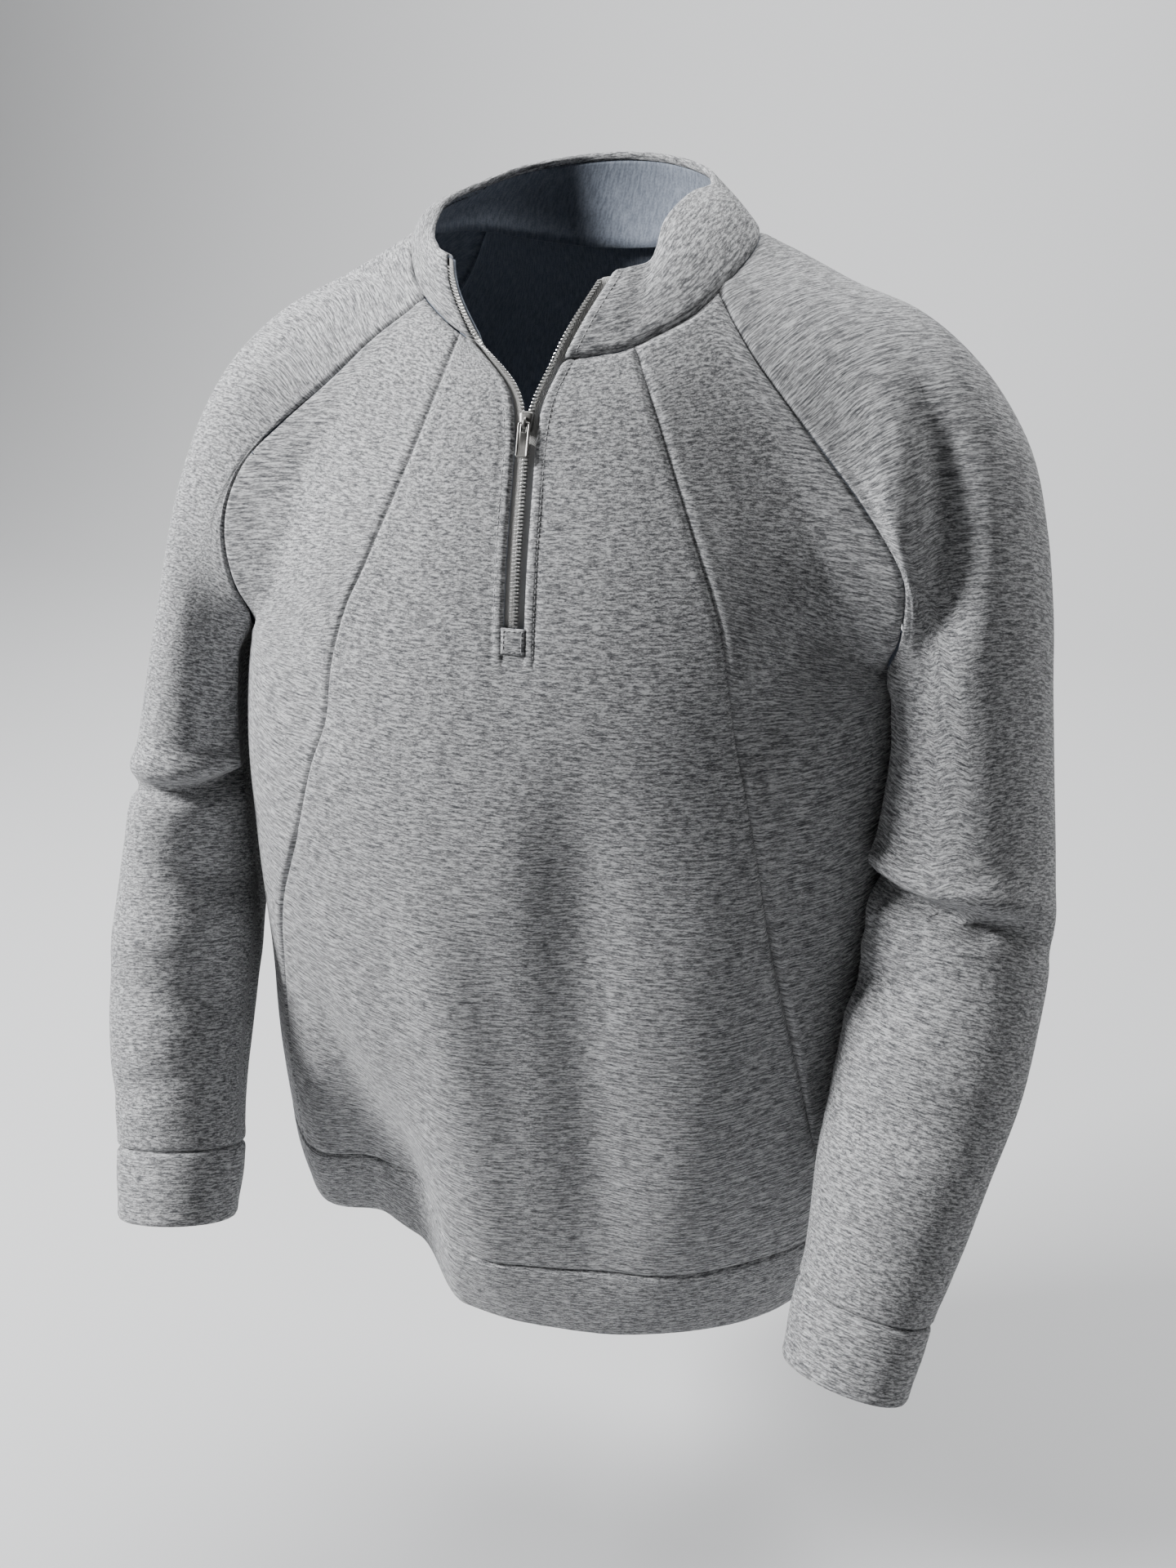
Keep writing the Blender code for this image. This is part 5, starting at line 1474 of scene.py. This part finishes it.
@dataclass
class ZipPath:
    """Where one side of the zip runs, as a band of points on the cloth beside it."""

    band: Points
    out: Points
    reach: float = 0.0225
    columns: int = 16

    @classmethod
    def beside(cls, side: Side, panels: BodyPanels, collar: Collar) -> "ZipPath":
        """Follows the cloth's edge from the slit's lower end to the collar's top.

        Args:
            side: Side of the zip.
            panels: Body panels that are already built.
            collar: Collar that is already built.

        Returns:
            The path, bottom to top, in even steps of a millimetre.
        """
        low = panels.plain_halves[side][panels.slit_start:-2]
        high = collar.plain[side][2:]
        away = np.linspace(0.0, cls.reach, cls.columns)
        rows = []
        for row in (*low, *high):
            along = lengths_along(row)
            rows.append(np.stack([np.interp(away, along, row[:, k]) for k in range(3)], -1))
        rows = np.array(rows)
        count = int(lengths_along(rows[:, 0])[-1] / 0.001) + 1
        flat = by_length(rows.reshape(len(rows), -1), count)
        for _ in range(16):
            flat[1:-1] = (flat[:-2] + 2 * flat[1:-1] + flat[2:]) / 4
        band = flat.reshape(count, cls.columns, 3)
        out = grid_normals(band)
        return cls(band, out if side is Side.LEFT else -out)

    @property
    def length(self) -> float:
        """Length of the cloth's edge."""
        return float(lengths_along(self.band[:, 0])[-1])

    def place(self, length: Points, across: float, raised: float, gap: float) -> Points:
        """Points at a length up the path, across from the teeth's middle and raised."""
        at = lengths_along(self.band[:, 0])
        row = np.interp(length, at, np.arange(len(at)))
        low = np.clip(np.floor(row).astype(int), 0, len(at) - 2)
        part = (row - low)[..., None]
        step = self.reach / (self.columns - 1)
        column = (across - gap) / step
        first = int(np.clip(math.floor(column), 0, self.columns - 2))
        share = column - first

        def mixed(grid: Points) -> Points:
            """The grid's value there, straight on beyond its edge."""
            lines = grid[:, first] * (1 - share) + grid[:, first + 1] * share
            return lines[low] * (1 - part) + lines[low + 1] * part

        return mixed(self.band) + unit(mixed(self.out)) * raised


@dataclass
class ZipChain(ClothWork):
    """Zip tapes, their facings and rows of metal teeth."""

    half_gap: float = 0.0056
    tape_width: float = 0.0125
    tape_wall: float = 0.0006
    cord: float = 0.0006
    facing_width: float = 0.021
    facing_wall: float = 0.0011
    pitch: float = 0.0019
    tooth_long: float = 0.00082
    tooth_wide: tuple = (-0.00050, 0.00225)
    tooth_high: float = 0.0022
    tooth_top: float = 0.0002
    slider_span: tuple = (-0.0855, -0.0725)

    def build(self, panels: BodyPanels, collar: Collar) -> None:
        """All strips and teeth."""
        self.paths = {side: ZipPath.beside(side, panels, collar) for side in Side}
        for side in Side:
            self.strip(side, "zip_tape_strip", self.tape_profile(), self.tape_wall,
                       self.finishes.tape, "zip_tape", "zip_tape_" + side.word)
            self.strip(side, "zip_facing_strip", self.facing_profile(), self.facing_wall,
                       self.finishes.inner, "facing_cloth", "zip_facing_" + side.word)
            self.teeth(side)

    def tape_profile(self) -> Sequence:
        """Across and raised, from the cord at the teeth into the cloth."""
        return ((0.0006, -0.0024), (0.0012, -0.0021), (0.0020, -0.0020), (0.0025, -0.0021),
                (0.0030, -0.0022), (0.0040, -0.0022), (0.0055, -0.0025), (0.0072, -0.0029),
                (self.tape_width, -0.0030))

    def facing_profile(self) -> Sequence:
        """Across and raised, from beside the teeth to the strip's far edge."""
        return ((0.0034, -0.0041), (0.0060, -0.0043), (0.0120, -0.0044), (self.facing_width, -0.0044))

    def strip(self, side: Side, name: str, profile: Sequence, wall: float,
              finish: bpy.types.Material, slot: str, node: str) -> None:
        """One long strip beside the teeth."""
        path = self.paths[side]
        at = np.linspace(0.0004, path.length - 0.0006, int(path.length / 0.002))
        grid = np.stack([path.place(at, across, raised, self.half_gap)
                         for across, raised in profile], axis=1)
        if side is Side.RIGHT:
            grid = grid[:, ::-1]
        normal = grid_normals(grid)
        piece = dressed(Shell(name + "_" + side.word, grid, normal, wall).build(), finish,
                        GARMENT_BODY, [node])
        flat_size(grid)

    def teeth(self, side: Side) -> None:
        """One side's row of teeth, each a small bevelled block with a raised nose."""
        path = self.paths[side]
        offset = 0.0 if side is Side.LEFT else self.pitch / 2
        parts = []
        for at in np.arange(0.0018 + offset, path.length - 0.004, self.pitch):
            middle = path.place(np.array(at), 0.0, 0.0, self.half_gap)
            if self.slider_span[0] < middle[2] < self.slider_span[1]:
                continue
            parts.append(self.tooth(path, at))
        piece = joined("zip_teeth_" + side.word, parts, smooth=False)
        dressed(piece, self.finishes.teeth, GARMENT_BODY, [])

    def tooth(self, path: ZipPath, at: float) -> tuple[Points, Sequence]:
        """Points and faces of one tooth."""
        near, far = self.tooth_wide
        half = self.tooth_long / 2
        low, high = self.tooth_top - self.tooth_high, self.tooth_top
        slant = 0.00018
        rings = []
        for raised, shrink in ((low, slant), (low + slant, 0.0), (high - slant, 0.0), (high, slant)):
            ring = []
            for across, along in ((near + shrink * 2, -half + shrink * 1.6), (near + 0.0006, -half + shrink),
                                  (far - shrink, -half + shrink), (far - shrink, half - shrink),
                                  (near + 0.0006, half - shrink), (near + shrink * 2, half - shrink * 1.6)):
                ring.append(path.place(np.array(at + along), across, raised, self.half_gap))
            rings.append(ring)
        points = np.array(rings).reshape(-1, 3)
        faces = [tuple(range(6))[::-1], tuple(range(18, 24))]
        for row in range(3):
            faces += [(row * 6 + k, row * 6 + (k + 1) % 6, row * 6 + 6 + (k + 1) % 6, row * 6 + 6 + k)
                      for k in range(6)]
        return points, faces


@dataclass
class ZipFrame:
    """Directions at the slider: across, up along the zip, and out of the cloth."""

    origin: Points
    up: Points
    out: Points

    @classmethod
    def at_slider(cls) -> "ZipFrame":
        """The frame at the slider: its origin on the CAD hinge's axis, with a given up direction along the
        CAD slider.
        """
        hinge = next(j for j in frame["record"]["behaviour"]["joints"])
        axis_point = np.array(hinge["pos_m"])
        up = np.array([0.0, 0.370939, 0.928657])
        return cls(axis_point, up, np.array([0.0, -up[2], up[1]]))

    def world(self, points: Sequence) -> Points:
        """Points in these directions brought into the garment's frame."""
        across = np.cross(self.up, self.out)
        local = np.asarray(points, float)
        return (self.origin + local[..., :1] * across + local[..., 1:2] * self.up
                + local[..., 2:] * self.out)


def rounded_box(wide: float, low: float, high: float, radius: float, turns: int = 5) -> list:
    """Outline of a rectangle with round corners.

    Args:
        wide: Its width, about x = 0.
        low: Its lower y.
        high: Its upper y.
        radius: Radius of its corners.
        turns: Points in each corner.

    Returns:
        Pairs of x and y, anticlockwise.
    """
    centres = ((wide / 2 - radius, low + radius, -90), (wide / 2 - radius, high - radius, 0),
               (-wide / 2 + radius, high - radius, 90), (-wide / 2 + radius, low + radius, 180))
    outline = []
    for x, y, first in centres:
        for angle in np.radians(np.linspace(first, first + 90, turns)):
            outline.append((x + radius * math.cos(angle), y + radius * math.sin(angle)))
    return outline


def lofted(loops: Sequence, closed: bool) -> tuple[Points, list]:
    """Points and faces of a skin over loops of equal count.

    Args:
        loops: Each a list of points.
        closed: Whether the last loop joins the first; otherwise both ends are capped.

    Returns:
        Points and faces.
    """
    count = len(loops[0])
    faces = []
    for row in range(len(loops) if closed else len(loops) - 1):
        after = (row + 1) % len(loops)
        faces += [(row * count + k, row * count + (k + 1) % count,
                   after * count + (k + 1) % count, after * count + k) for k in range(count)]
    if not closed:
        faces += [tuple(range(count)), tuple(range((len(loops) - 1) * count, len(loops) * count))]
    return np.array(loops, float).reshape(-1, 3), faces


@dataclass
class Slider:
    """The slider's crowned plate, its side flanges, and the arch for the pull."""

    finish: bpy.types.Material
    length: float = 0.0098
    wide: float = 0.0074
    below_axis: float = 0.0012
    down: float = 0.0014
    arch_half: float = 0.0029
    arch_wide: float = 0.0016
    arch_wall: float = 0.0009
    arch_rise: float = 0.0028

    def build(self, zip_frame: ZipFrame) -> None:
        """Plate and arch in one piece."""
        parts = []
        half = self.length / 2
        loops = []
        levels = ((-0.0034, 0.0004), (-0.0030, 0.0), (-0.0008, 0.0), (-0.0003, 0.0002),
                  (0.0, 0.0007), (0.0002, 0.0018))
        for raised, inset in levels:
            outline = []
            for x, y in rounded_box(self.wide - 2 * inset, -half + inset, half - inset,
                                    max(0.0016 - inset * 0.5, 0.0004), 6):
                narrow = 1.0 - 0.20 * ramp(-y, -0.001, half)
                outline.append((x * narrow, y + self.down, raised - self.below_axis))
            loops.append(zip_frame.world(outline))
        parts.append(lofted(loops, closed=False))
        arch = []
        for angle in np.radians(np.linspace(0.0, 180.0, 15)):
            centre = np.array([0.0, self.arch_half * math.cos(angle),
                               (self.arch_rise - self.arch_wall / 2) * math.sin(angle)**0.7
                               - self.below_axis - 0.0002])
            ahead = np.array([0.0, math.cos(angle), math.sin(angle)])
            ring = []
            for side, thick in rounded_box(self.arch_wide, -self.arch_wall / 2,
                                           self.arch_wall / 2, 0.0003, 3):
                ring.append(centre + np.array([side, 0.0, 0.0]) + ahead * thick)
            arch.append(zip_frame.world(ring))
        parts.append(lofted(arch, closed=False))
        piece = joined("zip_slider_body", parts)
        piece.data.polygons.foreach_set("use_smooth", np.ones(len(piece.data.polygons), bool))
        dressed(piece, self.finish, GARMENT_BODY, ["zip_slider"])


@dataclass
class PullTab:
    """The pull tab, a flat bar with a slot and a shallow panel."""

    finish: bpy.types.Material
    wide: float = 0.0065
    length: float = 0.0175
    wall: float = 0.0012
    slot: tuple = (0.0024, -0.0046, -0.0006)
    edge: float = 0.00025

    def build(self, zip_frame: ZipFrame) -> None:
        """The tab, hanging from its axis."""
        half, edge = self.wall / 2, self.edge
        top = half
        bottom = half - self.length
        wide, low, high = self.slot

        def loop(inset: float, raised: float, hole: bool) -> Points:
            """One outline of the tab or its slot at a height."""
            if hole:
                outline = rounded_box(wide + 2 * inset, low - inset, high + inset, 0.0007 + inset, 6)
            else:
                outline = rounded_box(self.wide - 2 * inset, bottom + inset, top - inset,
                                      0.0013 - inset, 6)
            return zip_frame.world([(x, y, raised) for x, y in outline])

        loops = [loop(0.0, -half + edge, False), loop(0.0, half - edge, False),
                 loop(edge, half, False), loop(0.0008, half, False), loop(0.0010, half - 0.0002, False),
                 loop(0.0006, half - 0.0002, True), loop(0.0004, half, True),
                 loop(edge * 0.6, half, True), loop(0.0, half - edge, True),
                 loop(0.0, -half + edge, True), loop(edge * 0.6, -half, True),
                 loop(edge, -half, False)]
        piece = joined("zip_pull_tab", [lofted(loops, closed=True)])
        dressed(piece, self.finish, PULL_BODY, ["zip_pull"])


# ---------------------------------------------------------------- stitching

@dataclass
class Stitching:
    """Rows of thread, each stitch a short rounded bead sunk in the cloth."""

    finish: bpy.types.Material
    long: float = 0.0022
    pitch: float = 0.0028
    radius: float = 0.00024
    around: int = 6

    def row(self, name: str, line: Points, out: Points) -> bpy.types.Object:
        """Stitches along a line.

        Args:
            name: The piece's name.
            line: Points on the cloth.
            out: Normals there.

        Returns:
            The row as one piece.
        """
        at = lengths_along(line)
        parts = []
        for start in np.arange(self.pitch / 2, at[-1] - self.long, self.pitch):
            places = start + self.long * np.array([0.0, 0.12, 0.5, 0.88, 1.0])
            middle = np.stack([np.interp(places, at, line[:, k]) for k in range(3)], -1)
            up = unit(np.stack([np.interp(places, at, out[:, k]) for k in range(3)], -1))
            along = unit(np.gradient(middle, axis=0))
            across = np.cross(along, up)
            loops = []
            stations = ((0.25, -0.9), (0.8, 0.0), (1.0, 0.35), (0.8, 0.0), (0.25, -0.9))
            for k, (size, lift) in enumerate(stations):
                turn = np.linspace(0.0, 2 * np.pi, self.around, endpoint=False)[:, None]
                loops.append(middle[k] + up[k] * self.radius * lift
                             + (across[k] * np.cos(turn) + up[k] * np.sin(turn)) * self.radius * size)
            parts.append(lofted(loops, closed=False))
        piece = joined(name, parts)
        return dressed(piece, self.finish, GARMENT_BODY, [])


@dataclass
class ZipStitching:
    """Topstitch on both sides of the zip, up onto the collar."""

    stitching: Stitching
    away: float = 0.0058
    below_slit: float = 0.016

    def build(self, panels: BodyPanels, collar: Collar) -> None:
        """Both rows."""
        for side in Side:
            half, normals = panels.halves[side], panels.half_normals[side]
            low = self.along(half, normals, half[panels.slit_start, 0, 2] - self.below_slit)
            high = self.along(collar.edges[side], collar.edge_normals[side], -1.0)
            for word, (line, out) in (("front", low), ("collar", high)):
                self.stitching.row(f"zip_stitches_{word}_{side.word}", line, out)

    def along(self, grid: Points, normal: Points, lowest: float) -> tuple[Points, Points]:
        """The line on a grid at the stitching's distance from its first column."""
        near = reach_from(grid, 1)[0]
        line, out = [], []
        for points, normals, reach in zip(grid[1:-1], normal[1:-1], near[1:-1]):
            if points[0, 2] > lowest:
                line.append([np.interp(self.away, reach, points[:, k]) for k in range(3)])
                out.append([np.interp(self.away, reach, normals[:, k]) for k in range(3)])
        return np.array(line), unit(np.array(out))


@dataclass
class EndPatch(ClothWork):
    """The small patch sewn over the zip's lower end."""

    wide: float = 0.0125
    long: float = 0.0135
    wall: float = 0.0009
    stitch_in: float = 0.0014

    def build(self, stitching: Stitching) -> None:
        """The patch with its round of stitches."""
        grid, normal = self.laid(self.wide, self.long, 15, 17, 0.0)
        near, far = reach_from(grid, 1)
        low, high = reach_from(grid, 0)
        edge = np.minimum(np.minimum(near, far), np.minimum(low, high))
        lift = self.wall + 0.0003 - 0.0006 * np.exp(-(edge / 0.0006)**2)
        lift = lift - 0.0003 * np.exp(-((edge - self.stitch_in) / 0.0006)**2)
        face = grid + normal * lift[..., None]
        piece = dressed(Shell("zip_end_patch_cloth", face, normal, self.wall).build(),
                        self.finishes.knit, GARMENT_BODY, ["zip_end_patch"])
        flat_size(face)
        inset = 2 * self.stitch_in
        line, out = self.laid(self.wide - inset, self.long - inset, 15, 17, self.stitch_in)
        height = self.wall + 0.0002
        loops = [np.s_[0, :], np.s_[:, -1], np.s_[-1, ::-1], np.s_[::-1, 0]]
        around = np.concatenate([line[part][:-1] for part in loops])
        facing = np.concatenate([out[part][:-1] for part in loops])
        stitching.row("end_patch_stitches", around + facing * height, facing)

    def laid(self, wide: float, long: float, columns: int, rows: int, inset: float) -> tuple[Points, Points]:
        """A grid of points on the front, under the slit's lower end."""
        x = np.linspace(-wide / 2, wide / 2, columns)[None, :]
        top = self.pattern.zip_bottom_z + 0.0008 - inset
        z = np.linspace(top - long, top, rows)[:, None]
        x, z = np.broadcast_arrays(x, z)
        base = self.form.body_surface(self.form.torso.front_point(x, z))
        grid = base + self.form.body_shift(base)
        return grid, grid_normals(grid)


# ---------------------------------------------------------------- studio

@dataclass
class Studio:
    """Plain pale floor, soft lights and the camera."""

    yaw: float = 15.0
    pitch: float = 25.5
    distance: float = 0.735
    height: float = 0.02
    focal_pixels: float = 1480.0
    image_height: float = 1920.0
    floor_z: float = -1.05
    sweep_y: float = 2.6

    def camera(self) -> None:
        """The camera at the photograph's viewing angle."""
        data = bpy.data.cameras.new("camera")
        data.sensor_fit = "VERTICAL"
        data.sensor_height = 36.0
        data.lens = self.focal_pixels / self.image_height * data.sensor_height
        data.clip_start = 0.01
        placed = bpy.data.objects.new("camera", data)
        bpy.context.scene.collection.objects.link(placed)
        yaw, pitch = math.radians(self.yaw), math.radians(self.pitch)
        placed.location = (self.distance * math.sin(yaw), -self.distance * math.cos(yaw), self.height)
        ahead = Vector((-math.sin(yaw) * math.cos(pitch), math.cos(yaw) * math.cos(pitch), -math.sin(pitch)))
        placed.rotation_euler = ahead.to_track_quat("-Z", "Y").to_euler()
        bpy.context.scene.camera = placed

    def floor(self) -> None:
        """A pale floor that sweeps up far behind the garment."""
        bend = 2.5
        turns = np.radians(np.linspace(0.0, 90.0, 25))
        profile = [(-9.0, 0.0)]
        profile += [(self.sweep_y + bend * math.sin(a), bend * (1 - math.cos(a))) for a in turns]
        profile.append((self.sweep_y + bend, 9.0))
        points = np.array([[(x, y, z) for x in (-14.0, 14.0)] for y, z in profile])
        count = len(profile)
        faces = [(2 * k, 2 * k + 1, 2 * k + 3, 2 * k + 2) for k in range(count - 1)]
        mesh = bpy.data.meshes.new("floor")
        mesh.from_pydata(points.reshape(-1, 3).tolist(), [], faces)
        mesh.polygons.foreach_set("use_smooth", np.ones(count - 1, bool))
        made = bpy.data.objects.new("floor", mesh)
        made.location.z = self.floor_z
        bpy.context.scene.collection.objects.link(made)
        tree = Tree("pale_floor")
        mesh.materials.append(tree.surface(Base_Color=(0.60, 0.605, 0.615, 1.0), Roughness=0.95))

    def light(self, name: str, size: float, power: float, place: tuple, aim: tuple) -> None:
        """One square soft light."""
        data = bpy.data.lights.new(name, "AREA")
        data.size = size
        data.energy = power
        made = bpy.data.objects.new(name, data)
        bpy.context.scene.collection.objects.link(made)
        made.location = place
        made.rotation_euler = (Vector(aim) - Vector(place)).to_track_quat("-Z", "Y").to_euler()

    def build(self) -> None:
        """Floor, lights, sky and camera."""
        self.floor()
        self.light("key", 0.5, 118.0, (-1.70, -0.80, 0.95), (0.0, 0.0, -0.25))
        self.light("top", 1.2, 8.0, (-0.3, 0.5, 1.9), (0.0, 0.0, -0.2))
        self.light("backdrop", 3.0, 380.0, (0.0, 1.2, 3.4), (0.0, 4.6, 0.4))
        self.light("rim", 0.9, 6.0, (1.7, 0.5, 0.5), (0.1, 0.0, -0.3))
        world = bpy.data.worlds.new("studio")
        world.use_nodes = True
        world.node_tree.nodes["Background"].inputs[0].default_value = (1.0, 1.0, 1.0, 1.0)
        world.node_tree.nodes["Background"].inputs[1].default_value = 0.04
        bpy.context.scene.world = world
        self.camera()


# ---------------------------------------------------------------- garment

def garment_form() -> GarmentForm:
    """The form with its arms and folds."""
    left = Arm(Side.LEFT, (
        (0.040, 0.004, -0.060, 0.050, 0.058),
        (0.100, 0.004, -0.063, 0.056, 0.066),
        (0.152, 0.002, -0.082, 0.060, 0.074),
        (0.189, -0.004, -0.119, 0.062, 0.078),
        (0.214, -0.010, -0.178, 0.056, 0.078),
        (0.228, -0.020, -0.245, 0.052, 0.074),
        (0.236, -0.034, -0.313, 0.056, 0.070),
        (0.243, -0.053, -0.383, 0.057, 0.066),
        (0.239, -0.081, -0.447, 0.055, 0.060),
        (0.229, -0.110, -0.505, 0.051, 0.055),
        (0.221, -0.138, -0.556, 0.044, 0.047),
        (0.2157, -0.152, -0.5825, 0.041, 0.042),
        (0.2087, -0.178, -0.6215, 0.039, 0.040)))
    right = Arm(Side.RIGHT, (
        (-0.040, 0.004, -0.055, 0.050, 0.058),
        (-0.100, 0.004, -0.058, 0.055, 0.066),
        (-0.153, 0.002, -0.078, 0.052, 0.074),
        (-0.187, -0.004, -0.113, 0.051, 0.078),
        (-0.216, -0.010, -0.170, 0.047, 0.078),
        (-0.241, -0.018, -0.240, 0.041, 0.074),
        (-0.258, -0.030, -0.313, 0.042, 0.070),
        (-0.2715, -0.047, -0.383, 0.045, 0.066),
        (-0.2725, -0.076, -0.447, 0.047, 0.060),
        (-0.269, -0.106, -0.503, 0.046, 0.055),
        (-0.261, -0.133, -0.549, 0.044, 0.047),
        (-0.256, -0.147, -0.5735, 0.043, 0.042),
        (-0.2505, -0.173, -0.6145, 0.041, 0.040)))
    body_folds = (
        BodyFold(0.030, -0.250, 0.045, -0.640, 0.026, -0.0075),
        BodyFold(-0.165, -0.430, -0.095, -0.660, 0.026, -0.0070),
        BodyFold(-0.055, -0.330, -0.030, -0.660, 0.026, 0.0070),
        BodyFold(0.115, -0.300, 0.100, -0.600, 0.028, 0.0050),
        BodyFold(0.150, -0.170, 0.120, -0.250, 0.018, -0.0050),
        BodyFold(-0.165, -0.180, -0.120, -0.260, 0.020, -0.0050),
        BodyFold(-0.060, -0.200, -0.075, -0.640, 0.035, 0.0060, Face.BACK),
        BodyFold(0.070, -0.180, 0.060, -0.640, 0.035, 0.0060, Face.BACK),
        BodyFold(0.000, -0.260, 0.005, -0.640, 0.030, -0.0060, Face.BACK),
        BodyFold(0.165, -0.170, 0.110, -0.300, 0.020, -0.0050, Face.BACK),
        BodyFold(-0.165, -0.170, -0.115, -0.300, 0.020, -0.0050, Face.BACK),
    )
    sleeve_folds = (
        SleeveFold(6.46, 70.0, 0.075, 0.008, 18.0, -0.0150, Side.LEFT),
        SleeveFold(6.24, 70.0, 0.070, 0.010, 16.0, 0.0085, Side.LEFT),
        SleeveFold(6.20, 55.0, 0.070, 0.008, 18.0, -0.0150, Side.RIGHT),
        SleeveFold(5.98, 55.0, 0.068, 0.010, 16.0, 0.0085, Side.RIGHT),
        SleeveFold(7.3, 45.0, 0.040, 0.014, -14.0, -0.0050),
        SleeveFold(7.9, 70.0, 0.050, 0.016, 10.0, 0.0040),
        SleeveFold(8.6, 60.0, 0.045, 0.014, -8.0, -0.0045),
        SleeveFold(9.6, 100.0, 0.035, 0.010, 12.0, -0.0035),
        SleeveFold(3.35, 100.0, 0.065, 0.012, -72.0, -0.0140, Side.LEFT),
        SleeveFold(3.30, 80.0, 0.065, 0.011, -72.0, 0.0075, Side.LEFT),
        SleeveFold(4.4, 85.0, 0.055, 0.014, -70.0, -0.0060, Side.RIGHT),
        SleeveFold(5.4, 285.0, 0.045, 0.016, -50.0, -0.0050),
        SleeveFold(8.0, 265.0, 0.040, 0.016, 10.0, 0.0040),
    )
    return GarmentForm(Torso(), {Side.LEFT: left, Side.RIGHT: right}, body_folds, sleeve_folds)


def main() -> None:
    logging.basicConfig(level=logging.INFO, format="%(name)s: %(message)s")
    pattern = Pattern(garment_form())
    LOG.info("pattern drawn")
    finishes = Finishes()
    panels = BodyPanels(pattern, finishes)
    panels.front()
    for side in Side:
        panels.side_front(side)
    panels.back()
    panels.hem()
    sleeves = Sleeves(pattern, finishes)
    for side in Side:
        sleeves.sleeve(side)
        sleeves.cuff(side)
    collar = Collar(pattern, finishes)
    collar.build()
    ZipChain(pattern, finishes).build(panels, collar)
    zip_frame = ZipFrame.at_slider()
    Slider(finishes.nickel).build(zip_frame)
    PullTab(finishes.nickel).build(zip_frame)
    stitching = Stitching(finishes.thread)
    ZipStitching(stitching).build(panels, collar)
    EndPatch(pattern, finishes).build(stitching)
    Studio().build()
    bpy.context.view_layer.update()


if __name__ == "__main__":
    main()
